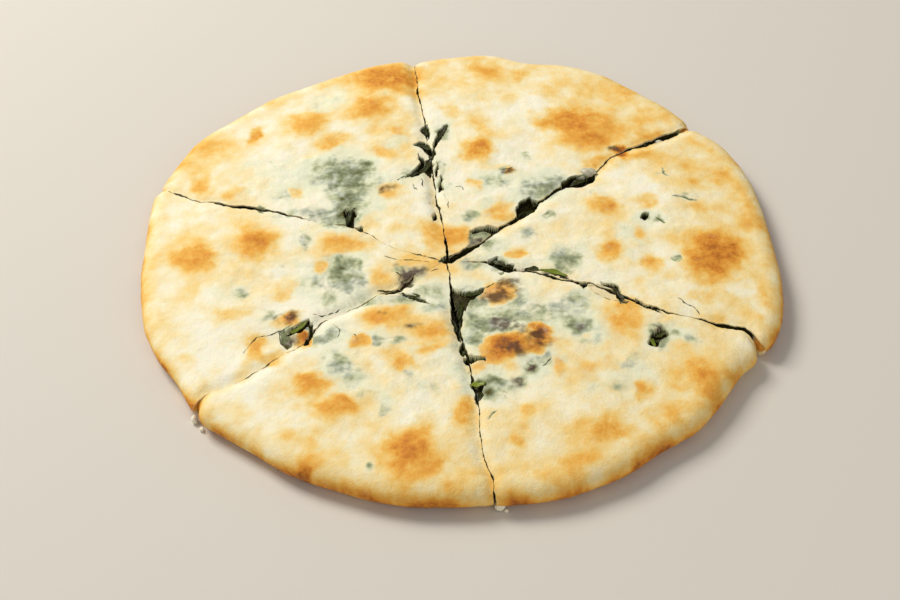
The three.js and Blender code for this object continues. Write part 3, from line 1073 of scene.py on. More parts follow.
# Leaves that show through the crust: strength is how much they darken it.
LEAVES_BELOW = patches(
    (-54, 53, 12.5, 9.5, 0.8), (-43, 57, 3.2, 5.6, 0.85), (-50, 38, 9, 12, 0.8), (-51, 22, 4.5, 7.5, 0.9),
    (-59, 18, 6.5, 4.5, 0.6), (-83, 36, 5, 4.6, 0.4), (-88, 62, 4.2, 4, 0.18), (-55, 116, 5.2, 4.3, 0.14),
    (-65, 109, 4.1, 4.3, 0.12), (-73, 23, 9.5, 3.8, 0.4), (-21, 49, 4.2, 3.4, 0.5), (6, 16, 4, 3.8, 0.75),
    (20, 40, 6.5, 4.6, 0.5), (26, 48, 4.6, 3.2, 0.5), (36, 58, 2.6, 3.2, 0.4), (40, 33, 6.4, 6, 0.68),
    (50, 39, 5, 4.6, 0.62), (-5, 80, 4, 7, 0.8), (-7, 54, 2.4, 5.6, 0.6), (-6, 42, 2.2, 4.7, 0.5),
    (-4, 18, 2.6, 7.2, 0.3), (1, 39, 2.6, 2.4, 0.2), (33, 4, 6.8, 6.6, 0.32), (43, 14, 3, 2.3, 0.7),
    (89, 11, 2.4, 2.6, 0.8), (96, 9, 2.6, 3, 0.45), (102, 42, 2.6, 3.2, 0.3), (110, 24, 5, 2.4, 0.42),
    (99, -19, 3, 2.3, 0.85), (49, -17, 7, 6.2, 0.75), (67, 32, 4, 3.9, 0.2), (127, -35, 2, 2.1, 0.2),
    (8, -15, 4.8, 4.2, 0.3), (18, -16, 3, 4.2, 0.7), (4, -41, 5.4, 8.2, 0.75), (15, -51, 12.5, 5.8, 0.42),
    (27, -48, 11, 8.8, 0.34), (8, -61, 6.2, 8.6, 0.7), (51, -59, 4.1, 5.6, 0.6), (50, -43, 9, 5.9, 0.38),
    (85, -66, 5, 6, 0.8), (94, -66, 2.8, 2.6, 0.6), (100, -69, 3.6, 3.8, 0.6), (30, -83, 3.2, 3.1, 0.8),
    (36, -76, 3.6, 5.4, 0.6), (24, -90, 4, 4.6, 0.62), (9, -92, 4.6, 5, 0.8), (15, -95, 6, 5.3, 0.6),
    (72, -82, 3.6, 4.8, 0.4), (64, -97, 4.3, 4.7, 0.2), (37, -53, 6.6, 7.4, 0.4), (55, -70, 4.5, 5, 0.3),
    (-30, -37, 12.5, 4, 0.6), (-62, -61, 4.1, 5, 0.5), (-56, -58, 4.1, 4.5, 0.6), (-52, -77, 5.8, 6, 0.5),
    (-48, -84, 4.4, 4.8, 0.26), (-34, -62, 3.2, 3.2, 0.7), (-27, -63, 4.1, 3.2, 0.58),
    (-33, -101, 3.1, 3.5, 0.45), (-38, -131, 1.9, 3.3, 0.45), (-13, -91, 5.7, 5.3, 0.25),
    (-24, -83, 4.4, 4.8, 0.25), (-43, -92, 5.2, 4.7, 0.18), (-10, -38, 4.6, 7.6, 0.42),
    (-52, -14, 6.6, 8.2, 0.85), (-56, -26, 11.3, 9.2, 0.45), (-71, 4, 2.2, 5.8, 0.65),
    (-97, -31, 4.3, 4.7, 0.4), (-79, -13, 3, 3.6, 0.2), (-83, -42, 4.6, 5.3, 0.25),
    (-75, -54, 4.6, 4.3, 0.85), (-69, -52, 3.8, 4, 0.55), (-24, -22, 6.1, 5.5, 0.5),
    (-48, -25, 5.6, 8, 0.62), (-57, -38, 4.7, 5.3, 0.45), (-52, -3, 3, 2.8, 0.2), (7, -18, 7, 3.6, 0.42),
    (-15, -19, 6, 4, 0.34), (-39, 43, 7, 6, 0.6), (17, -4, 6, 3.6, 0.7), (-19, -31.6, 6.4, 3.6, 0.5),
    (-81, -47.5, 4.4, 4.4, 0.5), (13.5, -39, 6, 5, 0.5), (-41, 13, 4.4, 4, 0.34), (24, -58.5, 7, 4, 0.66),
)

# Blisters, where the top crust rose off the filling: strength is the rise in millimetres.
BLISTERS = patches(
    (118, -16, 17, 17, 1.4), (68, 20, 8, 8, 0.7), (66, 82, 18, 18, 1.3), (11, 67, 9, 9, 1),
    (-33, 127, 15, 15, 1), (-41, 103, 12, 12, 1), (-72, 93, 10, 10, 0.9), (-94, 3, 12, 12, 1.1),
    (-119, -3, 10, 10, 0.9), (-52, 0, 9, 9, 0.7), (-19, -125, 14, 14, 1.1), (-51, -100, 8, 8, 0.8),
    (-64, -86, 7, 7, 0.7), (-32, -48, 10, 10, 0.7), (25, -67, 13, 13, 1.2), (19, -36, 8, 8, 0.8),
    (101, -89, 10, 10, 0.9), (54, -116, 9, 9, 0.8),
)

# Places where the crust sank over a hollow in the filling or beside a cut: strength is the drop in
# millimetres.
DIPS = patches(
    (-78, -60, 13, 6, 1.6), (-20, -38, 11, 4, 0.8), (84, -66, 8, 8, 0.7), (8, -50, 6, 16, 1),
    (64, -41, 9, 4, 1), (-51, 30, 10, 10, 0.7), (-53, -16, 9, 10, 0.8), (92, 8, 7, 5, 0.6),
)


@dataclass(frozen=True)
class Tear:
    """A hole or a mark in the top crust.

    The outline is in plan. depth is how far the crust is broken away, hollow how far the filling sank below
    it, and greens how strongly leaf stains what is left of the crust; a mark that is only stained has a
    small depth. A deep tear and a sunken filling also paint shade inside the hole, in the darkest leaf
    colours.
    """

    outline: tuple[tuple[float, float], ...]
    depth: float = 5.0
    hollow: float = 0.0
    greens: float = 0.0


def inside_distance(x: Array, y: Array, outline: tuple[tuple[float, float], ...]) -> Array:
    """Give how far points lie inside a closed outline, less than nothing outside it.

    The distance is the least to any side, where the nearest point's share along the side is the dot product
    of the offset and the side over the side's square, kept to 0 to 1. A point is inside where a ray from it
    crosses the sides an odd number of times.

    Args:
        x: Positions.
        y: Positions.
        outline: The outline's corners, in order.

    Returns:
        Distances in millimetres.
    """
    nearest = np.full(x.shape, np.inf)
    odd = np.zeros(x.shape, dtype=bool)
    for (ax, ay), (bx, by) in zip(outline, outline[1:] + outline[:1]):
        dx, dy = bx - ax, by - ay
        share = np.clip(((x - ax) * dx + (y - ay) * dy) / (dx * dx + dy * dy), 0.0, 1.0)
        nearest = np.minimum(nearest, np.hypot(x - ax - share * dx, y - ay - share * dy))
        if dy != 0.0:
            odd ^= ((y < ay) != (y < by)) & (x < ax + (y - ay) * dx / dy)
    return np.where(odd, nearest, -nearest)


# The first lie along the cuts, from the back one round to the left, and the last in the slices' middles.
TEARS = (
    Tear(((-15.5, 84), (-12.5, 88), (-11, 86.5), (-11, 75.5), (-13.5, 81)), 6, 3),
    Tear(((-18.5, 72.5), (-15.5, 74), (-12.5, 74), (-9.5, 66), (-10, 62), (-11.5, 64.5), (-15.5, 70)),
        6, 3),
    Tear(((-16.5, 64.5), (-13.5, 59), (-9, 59.5), (-11, 48), (-14, 51), (-18, 48), (-23.5, 46.5),
        (-15.5, 57.5)), 6, 3),
    Tear(((-1.5, 87), (-1.5, 81.5), (-5.5, 74.5), (-8.5, 67.5), (-9.5, 70.5), (-8, 76), (-4, 84.5)), 5, 2),
    Tear(((-9, 70), (-8, 65), (-8.5, 59), (-10, 61)), 5, 2),
    Tear(((-7.5, 57), (-6.5, 52.5), (-7.5, 46.5), (-8.5, 50.5)), 5, 1),
    Tear(((-6, 48), (-4.5, 44.5), (-6, 41), (-4.5, 36.5), (-7, 35)), 4, 1),
    Tear(((-18.5, 41.5), (-17.5, 37.5), (-19, 38.5)), 0.6, 0, 1.2),
    Tear(((-9.5, 22), (-8, 18.5), (-10, 15), (-11, 18.5)), 5, 2),
    Tear(((-3.5, -29), (0.5, -35), (5.5, -35), (12, -33), (10.5, -36), (4.5, -39.5), (3.5, -46.5),
        (-3.5, -41)), 3, 0.6),
    Tear(((-3.5, -40), (2.8, -45), (0.8, -54), (0, -64), (-1, -63), (-3, -50.5)), 5, 1.2),
    Tear(((0.5, -64.5), (2, -67), (1.5, -72.5), (-0.5, -72.5), (-1, -70)), 6, 2),
    Tear(((1.5, -74), (10.5, -75.5), (10.5, -77), (5.5, -78), (3.5, -79), (1.5, -75.5)), 7, 3),
    Tear(((3.5, -90), (7, -88), (10.5, -90.5), (8, -93.5), (9, -96.5), (5.5, -101), (4.5, -94)), 3.5, 1),
    Tear(((9.5, -110.5), (12.5, -106.4), (13.6, -106.2), (10.6, -110.5)), 0.5, 0, 0.9),
    Tear(((14.5, -14), (18.4, -11.6), (18, -14.3), (21.5, -15.5), (18, -19), (15.5, -17)), 6, 2),
    Tear(((21, -15), (23, -17.8), (26.4, -17), (25.4, -20), (26, -21), (23, -22.5), (18, -19)), 6, 2),
    Tear(((19, -22.5), (22, -21.5), (21.5, -24), (19.5, -24.5)), 1, 0, 0.9),
    Tear(((51.5, -29.5), (57.5, -31), (57.5, -33.5), (55.5, -35.5), (54.5, -32.5)), 5, 1),
    Tear(((63.5, -32), (71.5, -34.5), (73, -42.5), (75, -43), (74, -45.5), (71, -46), (70.5, -39),
        (69, -36.5)), 4, 0),
    Tear(((78, -42.5), (85, -48), (88.5, -52.5), (86.5, -52), (79, -45.5)), 5, 1),
    Tear(((6.8, 3.9), (14.3, 6.9), (19.5, 6.6), (16.9, 2.5), (11, -2.7), (4.4, -6.6), (6.5, -2.4)),
        0.7, 0, 0.85),
    Tear(((7, 5), (11.6, 7.8), (15.3, 9), (21, 7), (17.4, 4.6), (13.4, 5.8), (9.6, 3.8)), 5, 2),
    Tear(((-7.8, -14.4), (-5, -10.6), (-1, -9.6), (4.4, -7.6), (1.5, -12), (-2.6, -15.4)), 8, 5),
    Tear(((28.5, 19), (30.4, 22.4), (32, 25.5), (36, 27.6), (40.5, 25), (38.5, 19.5), (31, 14)), 7, 3.2),
    Tear(((51, 34), (53, 39), (56, 42), (62, 43.4), (69, 43), (67, 38.5), (60, 34.8), (56, 35.5)), 7, 4),
    Tear(((57.3, -32.6), (67, -33.2), (70, -36), (71, -44.4), (67.7, -43.2), (62.7, -40.4), (58.7, -36)),
        0.85),
    Tear(((-53, 22), (-51.4, 25), (-49.4, 23.4), (-47, 26.4), (-46.6, 19), (-48.2, 11), (-51.6, 13),
        (-51, 17)), 5, 2),
    Tear(((-47, 11), (-44, 12.5), (-42.5, 10), (-44, 8.5)), 5, 2),
    Tear(((-69, 21), (-64.5, 22.5), (-59, 24), (-53, 23.5), (-52, 13), (-63.5, 16), (-69, 17.5)),
        0.3, 0, 0.5),
    Tear(((-94, 28), (-92.5, 30.5), (-89.5, 28.5), (-91, 24.5)), 0.4, 0, 0.8),
    Tear(((-79, -54.5), (-76.2, -54), (-73, -58.5), (-72, -63), (-74.4, -65), (-77.6, -61)), 0.75, 0, 1.05),
    Tear(((-76, -55.8), (-70.8, -51.4), (-66.4, -47.8), (-65.8, -51.6), (-70, -55.2)), 3, 0.8),
    Tear(((-66.6, -50), (-64.8, -50), (-64.3, -57), (-65.8, -62.5), (-67.4, -63.4), (-66, -57)), 4, 1),
    Tear(((-33, -33), (-26.3, -29), (-22, -23.4), (-19.2, -21), (-20.4, -25.4), (-25, -32), (-29.5, -34)),
        1.9, 0.4),
    Tear(((-27.7, -33.2), (-19.7, -35.2), (-15.2, -37.7), (-12.6, -41.7), (-16.9, -39), (-24.5, -35.4)),
        1.8, 0.4),
    Tear(((-27, -34.4), (-18, -38.4), (-20, -39.6), (-26.5, -36.6)), 0.4, 0, 0.6),
    Tear(((-25, -29), (-23.5, -26.5), (-19.5, -28), (-21, -30.5)), 0.5, 0, 1.1),
    Tear(((80, -70.5), (83, -64.5), (87, -61.5), (89, -63), (89.5, -66), (86, -69.5), (85, -72.5),
        (81.5, -72)), 3.5, 0.8),
    Tear(((83, -61), (85.5, -58), (88, -59.5), (87.5, -62.5)), 0.3, 0, 0.8),
    Tear(((87, 9.8), (87.6, 12), (89.4, 13.2), (91.4, 12.4), (90.6, 10.6), (88.4, 8.4)), 6, 3),
    Tear(((93.5, 11.5), (97, 8.5), (98.5, 6), (97, 5.5), (94, 10)), 0.5, 0, 1.2),
    Tear(((103, 24.2), (109, 24.6), (114.5, 21), (112, 20.8), (106, 23.2)), 0.4, 0, 1.1),
    Tear(((101, 45), (102, 42.5), (103.5, 38.5), (101, 41.5)), 0.5, 0, 1.2),
    Tear(((97, -18.5), (99, -17), (101.5, -17), (102.5, -18.5), (98.5, -21.5)), 0.4, 0, 0.85),
    Tear(((12.5, 5.5), (15.5, 8.5), (20, 6), (18.5, 3.5), (14, 4.5)), 0.3, 0, 0.6),
    Tear(((40.5, 14.5), (44, 16.5), (47, 15), (45.5, 12.5), (43, 11.5)), 0.3, 0, 0.55),
)


def tear_fields(x: Array, y: Array) -> tuple[Array, Array, Array]:
    """Work out the tears at points.

    Points stray at random, so that outlines are ragged. A tear's depth rises in a steep wall across its
    outline and its stain in a softer one, and the filling starts to sink about a millimetre outside it.

    Args:
        x: Positions.
        y: Positions.

    Returns:
        How far the crust is broken away, how far the filling sank, and how strongly leaf stains the crust.
    """
    wx = x + 0.65 * layered_noise(x, y, 3.6, Seed.TEAR_X, 4)
    wy = y + 0.65 * layered_noise(x, y, 3.6, Seed.TEAR_Y, 4)
    depth, hollow, stain = (np.zeros(x.shape) for _ in range(3))
    for tear in TEARS:
        corners = np.array(tear.outline)
        low, high = corners.min(axis=0) - 4.0, corners.max(axis=0) + 4.0
        near = (wx > low[0]) & (wx < high[0]) & (wy > low[1]) & (wy < high[1])
        within = inside_distance(wx[near], wy[near], tear.outline)
        depth[near] = np.maximum(depth[near], tear.depth * ramp(within, -0.25, 0.55))
        hollow[near] = np.maximum(hollow[near], tear.hollow * ramp(within, -1.2, 0.8))
        stain[near] = np.maximum(stain[near], tear.greens * ramp(within, -0.5, 0.6))
    return depth, hollow, stain


def corner_pull(pull: float, distance: Array) -> Array:
    """Give how far the rim is drawn in at distances along it from a corner that is drawn in by pull.

    It falls from the pull to nothing, as the square of one less a smooth step, over a width that grows with
    the pull.
    """
    return pull * (1.0 - ramp(distance, 0.0, CORNER_WIDTH + CORNER_SPREAD * pull)) ** 2


@dataclass(frozen=True)
class SlicePlan:
    """Where one slice lies between its two cuts.

    reach is how far its rim stands out from the mean circle, at even steps across.
    """

    place: str
    start: KnifeCut
    end: KnifeCut
    turns: int
    reach: tuple[float, ...]

    def bearing(self, across: Array, distance: Array, proud: float = 0.0) -> Array:
        """Give the direction from the crossing, blended from the start cut's face to the end cut's.

        Args:
            across: Shares across the slice.
            distance: Distances from the crossing.
            proud: How far the faces stand out of the dough's into the gaps.

        Returns:
            Angles in radians.
        """
        first = self.start.bearing(distance, Edge.START, 0, proud)
        last = self.end.bearing(distance, Edge.END, self.turns, proud)
        return first + (last - first) * across

    def edge(self, across: Array) -> Array:
        """Give the distance from the crossing to the rim, at shares across the slice.

        It is the mean circle's, plus the reach, less the pulls at both corners, plus a small random waver.

        Args:
            across: Shares across the slice.

        Returns:
            Distances in millimetres.
        """
        first = math.radians(self.start.angle)
        last = math.radians(self.end.angle) + self.turns * 2.0 * math.pi
        angle = first + (last - first) * across
        circle = circle_distance(angle)
        span = circle * (last - first)
        pull = corner_pull(self.start.start_pull, across * span)
        pull = pull + corner_pull(self.end.end_pull, (1.0 - across) * span)
        waver = 0.35 * layered_noise(angle * RIM_RADIUS, angle * 0.0, 14.0, Seed.RIM_WAVER, 3)
        return circle + through(self.reach, across) - pull + waver

    def place_at(self, across: Array, distance: Array, proud: float = 0.0) -> tuple[Array, Array]:
        """Give the plan position at shares across the slice and distances from the crossing."""
        bearing = self.bearing(across, distance, proud)
        return CROSSING[0] + distance * np.cos(bearing), CROSSING[1] + distance * np.sin(bearing)

    def lips(self, across: Array, distance: Array) -> Array:
        """Give how far the knife pressed the crust down along both cuts.

        Each lip is a bell of the distance to its cut along the arc, stronger by its cut's own number,
        uneven along the cut, and fading towards the point.

        Args:
            across: Shares across the slice.
            distance: Distances from the crossing.

        Returns:
            Drops in millimetres.
        """
        span = self.bearing(np.ones_like(across), distance) - self.bearing(np.zeros_like(across), distance)
        uneven = 1.0 + 0.45 * layered_noise(distance, across * 0.0 + 40.0 * self.turns, 13.0, Seed.LIPS, 3)
        first = self.start.start_lip * bell(across * span * distance, LIP_WIDTH * self.start.start_lip**0.4)
        last = self.end.end_lip * bell((1.0 - across) * span * distance, LIP_WIDTH * self.end.end_lip**0.4)
        return LIP_DROP * uneven * (first + last) * ramp(distance, 6.0, 34.0)

    def locate(self, x: Array, y: Array) -> tuple[Array, Array]:
        """Give the share across the slice and the distance from the crossing of plan positions.

        The share is the bearing's place between the two cuts' bearings at that distance.

        Args:
            x: Positions.
            y: Positions.

        Returns:
            The shares and the distances.
        """
        distance = np.hypot(x - CROSSING[0], y - CROSSING[1])
        first = self.start.bearing(distance, Edge.START, 0)
        last = self.end.bearing(distance, Edge.END, self.turns)
        bearing = np.arctan2(y - CROSSING[1], x - CROSSING[0])
        middle = 0.5 * (first + last)
        bearing = middle + np.mod(bearing - middle + np.pi, 2.0 * np.pi) - np.pi
        return (bearing - first) / (last - first), distance


PLANS = (
    SlicePlan("right", CUTS[0], CUTS[1], 0, (2, 3, 0.5, -2, -2.5, -1.5, 0.5, 1, -2)),
    SlicePlan("back_right", CUTS[1], CUTS[2], 0, (-1.5, 0, 1.5, 4.5, 4.5, 1, 4.5, 2.5, 0)),
    SlicePlan("back_left", CUTS[2], CUTS[3], 0, (2, 3, 1, 1.5, 3, 3, 6, 4.5, 3.5)),
    SlicePlan("left", CUTS[3], CUTS[4], 0, (4.5, 0.5, -2.5, -3, -2.5, -2, -3, -4.5, -2)),
    SlicePlan("front_left", CUTS[4], CUTS[5], 0, (0.5, -1.5, -3, -1.5, -1.5, -0.5, 0, -0.5, -0.5)),
    SlicePlan("front_right", CUTS[5], CUTS[0], 1, (0.5, 2, 2, 1.5, -0.5, 0.5, -1, -2.5, 0)),
)


def thinness(x: Array, y: Array) -> Array:
    """Give how thin the top crust is over the filling, from 0 to 1."""
    return patch_field(x, y, SHEER, 7.0, 0.3, 1.5, Seed.SHEER)


def top_height(plan: SlicePlan, across: Array, distance: Array) -> Array:
    """Give the height of the unbroken top crust before it rounds over at the rim.

    It is the rim's height and the body's rise behind it, plus long waves, blisters, dips, the lumps of the
    filling below, which stand out most where the crust is thin, and fine wrinkles, less the lips that the
    knife pressed down along both cuts.

    Args:
        plan: The slice.
        across: Shares across it.
        distance: Distances from the crossing.

    Returns:
        Heights in millimetres.
    """
    x, y = plan.place_at(across, distance)
    inside = plan.edge(across) - distance
    body = ramp(inside, RIM_ROUND, BODY_REACH)
    height = RIM_HEIGHT + (BODY_HEIGHT - RIM_HEIGHT) * body
    height = height + 0.45 * layered_noise(x, y, 34.0, Seed.LONG_WAVES, 2)
    height = height + (0.08 + 0.2 * body) * layered_noise(x, y, 10.0, Seed.LUMPS, 3)
    height = height + 0.07 * layered_noise(x, y, 3.0, Seed.WRINKLES, 2)
    height = height + 0.34 * thinness(x, y) * layered_noise(x, y, 7.0, Seed.FILLING_LUMPS, 3)
    for rise, group in ((1.0, BLISTERS), (-1.0, DIPS)):
        for patch in group:
            reach = np.hypot((x - patch.x) / patch.half_x, (y - patch.y) / patch.half_y)
            height = height + rise * patch.strength * bell(reach, 1.0)
    return height - plan.lips(across, distance)


# ----------------------------------------------------------------------------
# The pieces
# ----------------------------------------------------------------------------


def blank_values(like: Array) -> dict[Field, Array]:
    """Give noughts of an array's shape for each field of the crust."""
    return {key: np.zeros_like(like) for key in CRUST_FIELDS}


@dataclass
class CrustSlice:
    """The dough of one slice: top crust, round rim, underside and cut faces, as one closed skin.

    The rim's tan is nothing at tan_top and full at tan_foot, heights in millimetres.
    """

    plan: SlicePlan
    columns: int = 240
    body_rows: int = 250
    rim_rows: int = 48
    wall_rows: int = 14
    base_step: int = 6
    rim_share: float = 0.064
    sharp_degrees: float = 55.0
    tan_top: float = 13.2
    tan_foot: float = 4.4
    tan_full: float = 0.88
    least_height: float = 3.0

    def shares(self) -> tuple[Array, Array]:
        """Give the grid's shares, which lie closer together near the cuts and on the round of the rim.

        Returns:
            Shares across the slice and out along it.
        """
        even = np.linspace(0.0, 1.0, self.columns + 1)
        across = 0.45 * even + 0.55 * (1.0 - np.cos(np.pi * even)) / 2.0
        body = np.linspace(0.0, 1.0 - self.rim_share, self.body_rows + 1)
        turn = np.linspace(0.0, np.pi / 2.0, self.rim_rows + 1)[1:]
        rim = 1.0 - self.rim_share * (1.0 - np.sin(turn))
        return across, np.concatenate([body, rim])

    def skin_values(self, x: Array, y: Array, z: Array, inside: Array) -> dict[Field, Array]:
        """Work out how the top crust has baked at its points.

        Browning is the cover of the browned patches plus a tan low on the round rim. Greens is the cover of
        the leaves below, with a faint random show-through inside the rim, and of the stalks, which also
        tint it purple. Thin is a haze round the leaves and over the thin stretches. Blush is a slow random
        drift over the wide warm stretches, grows round the browned patches and towards the rim, and is weak
        where the crust is thin or pale.

        Args:
            x: Positions.
            y: Positions.
            z: Heights.
            inside: Distances in from the rim's edge.

        Returns:
            The values of each field.
        """
        spots = self.spots(x, y)
        cores = layered_noise(x, y, 6.0, Seed.SPOT_CORES, 3)
        browning = spots * (1.0 + 0.15 * cores) + self.low_tan(x, y, z) * (1.0 - spots)

        leaves = patch_field(x, y, LEAVES_BELOW, 2.4, 0.0, 1.75, Seed.LEAVES, 2)
        haze = patch_field(x, y, LEAVES_BELOW, 3.0, 0.6, 2.6, Seed.HAZE, 2)
        sheer = thinness(x, y) * ramp(layered_noise(x, y, 14.0, Seed.SHEER_CLOUDS, 3), -0.7, 0.5)
        purple = patch_field(x, y, STALKS, 1.6, 0.0, 1.6, Seed.STALKS)
        middle = ramp(inside, 18.0, 45.0)
        faint = ramp(layered_noise(x, y, 13.0, Seed.SHOW_THROUGH, 3), -0.1, 0.9) * middle
        bare = 1.0 - 0.8 * ramp(spots, 0.15, 0.45)
        greens = np.clip(np.maximum(0.9 * leaves + 0.1 * faint + 0.14 * sheer, 0.5 * purple), 0.0, 1.0) * bare

        halo = patch_field(x, y, BROWNED, 2.8, 0.8, 2.3, Seed.HALO)
        warm = patch_field(x, y, WARMED, 5.0, 0.1, 1.5, Seed.WARMTH)
        drift = layered_noise(x, y, 26.0, Seed.DRIFT, 3)
        fine = layered_noise(x, y, 9.0, Seed.FINE_DRIFT, 3)
        blush = 0.12 + 1.25 * warm + 0.13 * drift + 0.16 * fine + 0.15 * halo + 0.12 * ramp(inside, 24.0, 3.0)
        blush = blush * (1.0 - 0.5 * np.maximum(haze, sheer)) * (1.0 - 0.7 * self.pale(x, y))
        return {
            Field.BROWNING: np.clip(browning, 0.0, 1.2),
            Field.GREENS_AND_SHADE: greens,
            Field.THIN: np.clip(0.5 * haze + 0.6 * sheer + 0.2 * faint, 0.0, 1.0) * bare,
            Field.BLUSH: np.clip(blush, 0.02, 1.0),
            Field.CRUMB: np.zeros_like(x),
            Field.PURPLE: purple,
        }

    def spots(self, x: Array, y: Array) -> Array:
        """Give the cover of the browned spots, soft at their outlines."""
        return 1.08 * patch_field(x, y, BROWNED, 2.8, 0.36, 1.45, Seed.SPOTS, 4)

    def low_tan(self, x: Array, y: Array, z: Array) -> Array:
        """Give how far the rim has browned low down, less where it stayed pale.

        The tan rises smoothly as the height falls from tan_top to tan_foot, in tongues that a random field
        makes.

        Args:
            x: Positions.
            y: Positions.
            z: Heights.

        Returns:
            Browning from 0 to tan_full.
        """
        uneven = 1.0 + 0.5 * layered_noise(x, y, 9.0, Seed.TAN, 3)
        tan = self.tan_full * ramp(z, self.tan_top, self.tan_foot) * uneven
        return np.clip(tan, 0.0, self.tan_full) * (1.0 - 0.75 * self.pale(x, y))

    def pale(self, x: Array, y: Array) -> Array:
        """Give the cover of the stretches that stayed pale."""
        return patch_field(x, y, PALE, 4.0, 0.2, 1.5, Seed.PALE)

    def build(self) -> Surface:
        """Make the skin.

        The top is a grid of across and out, whose height near the rim follows a quarter of an ellipse down
        to half the rim's height; the underside is the same grid, coarser, with the other quarter. The cut
        faces are one strip that hangs from the top's border along the start cut, round the point and out
        along the end cut.

        Returns:
            The closed surface with its values.
        """
        plan = self.plan
        across, out = self.shares()
        u = across[:, None] * np.ones_like(out)
        edge = plan.edge(across)[:, None]
        distance = TIP_RADIUS + (edge - TIP_RADIUS) * out
        x, y = plan.place_at(u, distance)
        inside = edge - distance
        height = top_height(plan, u, distance)
        profile = np.sqrt(np.clip(1.0 - (1.0 - np.clip(inside / RIM_ROUND, 0.0, 1.0)) ** 2, 0.0, 1.0))
        under = height * 0.5 * (1.0 - profile)
        torn, hollow, stain = tear_fields(x, y)
        torn = np.minimum(torn * ramp(inside, 4.0, 10.0), height - self.least_height)
        top = height * (0.5 + 0.5 * profile) - torn
        points = np.stack([x, y, top], axis=-1)

        surface = Surface()
        values = self.skin_values(x, y, top, inside)
        whole = 1.0 - ramp(torn, 0.4, 1.0)
        # Deep in a tear and over a sunken filling the crust takes the darkest leaf colours: partly the leaves
        # that line the hole, partly painted shade in it.
        dark = np.maximum(ramp(torn, 0.8, 1.7), ramp(hollow, 0.5, 3.5))
        values[Field.GREENS_AND_SHADE] = np.maximum(values[Field.GREENS_AND_SHADE] * whole, np.maximum(stain, 1.6 * dark))
        values[Field.THIN] = values[Field.THIN] * whole
        values[Field.BROWNING] = values[Field.BROWNING] * (0.3 + 0.7 * whole)
        clean = (1.0 - ramp(stain, 0.1, 0.6)) * (1.0 - ramp(hollow, 0.0, 2.0))
        values[Field.CRUMB] = (1.0 - whole) * (1.0 - dark) * clean
        upper = surface.add_points(points, values)
        surface.add_grid(upper, flip=True)

        rows = slice(0, -1, self.base_step)
        flat = ramp(inside[:, rows], 2.0, 14.0)
        toast = np.clip(0.35 + 0.3 * layered_noise(x, y, 22.0, Seed.TOAST, 4), 0.0, 1.0)[:, rows] * flat
        spots = self.spots(x, y)[:, rows]
        tan = self.low_tan(x, y, under)[:, rows] * (1.0 - flat) * (1.0 - spots)
        base_values = blank_values(toast) | {
            Field.BROWNING: toast + tan + spots * (1.0 - flat),
            Field.BLUSH: values[Field.BLUSH][:, rows] * (1.0 - flat) + 0.3 * flat,
        }
        base = np.stack([x[:, rows], y[:, rows], under[:, rows]], axis=-1)
        lower = surface.add_points(base, base_values)
        lower = np.concatenate([lower, upper[:, -1:]], axis=1)
        surface.add_grid(lower)
        self.add_cut_faces(surface, upper, points, under, inside, values)
        return surface

    def add_cut_faces(
        self,
        surface: Surface,
        upper: Array,
        points: Array,
        under: Array,
        inside: Array,
        values: dict[Field, Array],
    ) -> None:
        """Hang the cut faces from the top's border.

        A point of a face lies below its border point, drawn into the slice by a smooth recess between the
        top crust and the base crust and by a fine random roughness. The recess leaves room for the
        filling's face. The crust's own crumb shows in a thin, uneven band at the top and the bottom. What is
        between takes a dark leaf colour, partly the filling's own and partly painted shade of the narrow gap,
        and out at the rim a golden brown that is painted shade of the gap.

        Args:
            surface: The surface to add to.
            upper: The top's point numbers.
            points: The top's points.
            under: Heights of the underside below them.
            inside: Their distances in from the rim's edge.
            values: The top's values.
        """

        def border(grid: Array) -> Array:
            """Read the values along the start cut inwards, round the point and out along the end cut."""
            return np.concatenate([grid[0, ::-1], grid[1:-1, 0], grid[-1, :]])

        line = border(points)
        bottom = border(under)
        tangent = unit(np.gradient(line[:, :2], axis=0))
        inward = np.stack([tangent[:, 1], -tangent[:, 0]], axis=-1)
        share = np.linspace(0.0, 1.0, self.wall_rows + 1)[1:, None] ** 1.35
        depth = share * (line[:, 2] - bottom)
        left = (line[:, 2] - bottom) - depth
        recess = 0.55 * ramp(depth, TOP_CRUST - 0.7, TOP_CRUST + 0.5) * ramp(left, 0.8, BASE_CRUST)
        rough = 0.12 * layered_noise(np.arange(len(line)) * 0.7 + 0.0 * depth, depth, 2.2, Seed.WALLS, 2)
        inset = (recess + rough * ramp(depth, 0.0, 0.8)) * ramp(line[:, 2] - bottom, 1.0, 5.0)
        wall = np.empty((self.wall_rows, len(line), 3))
        wall[..., :2] = line[:, :2] + inset[..., None] * inward
        wall[..., 2] = line[:, 2] - depth
        share_across = np.linspace(0.0, 1.0, len(under))[:, None] * np.ones_like(under)
        crust = border(self.plan.start.crust * (1.0 - share_across) + self.plan.end.crust * share_across)
        band = crust * (1.0 + 0.6 * layered_noise(line[:, 0], line[:, 1], 9.0, Seed.CRUMB_BAND, 3))
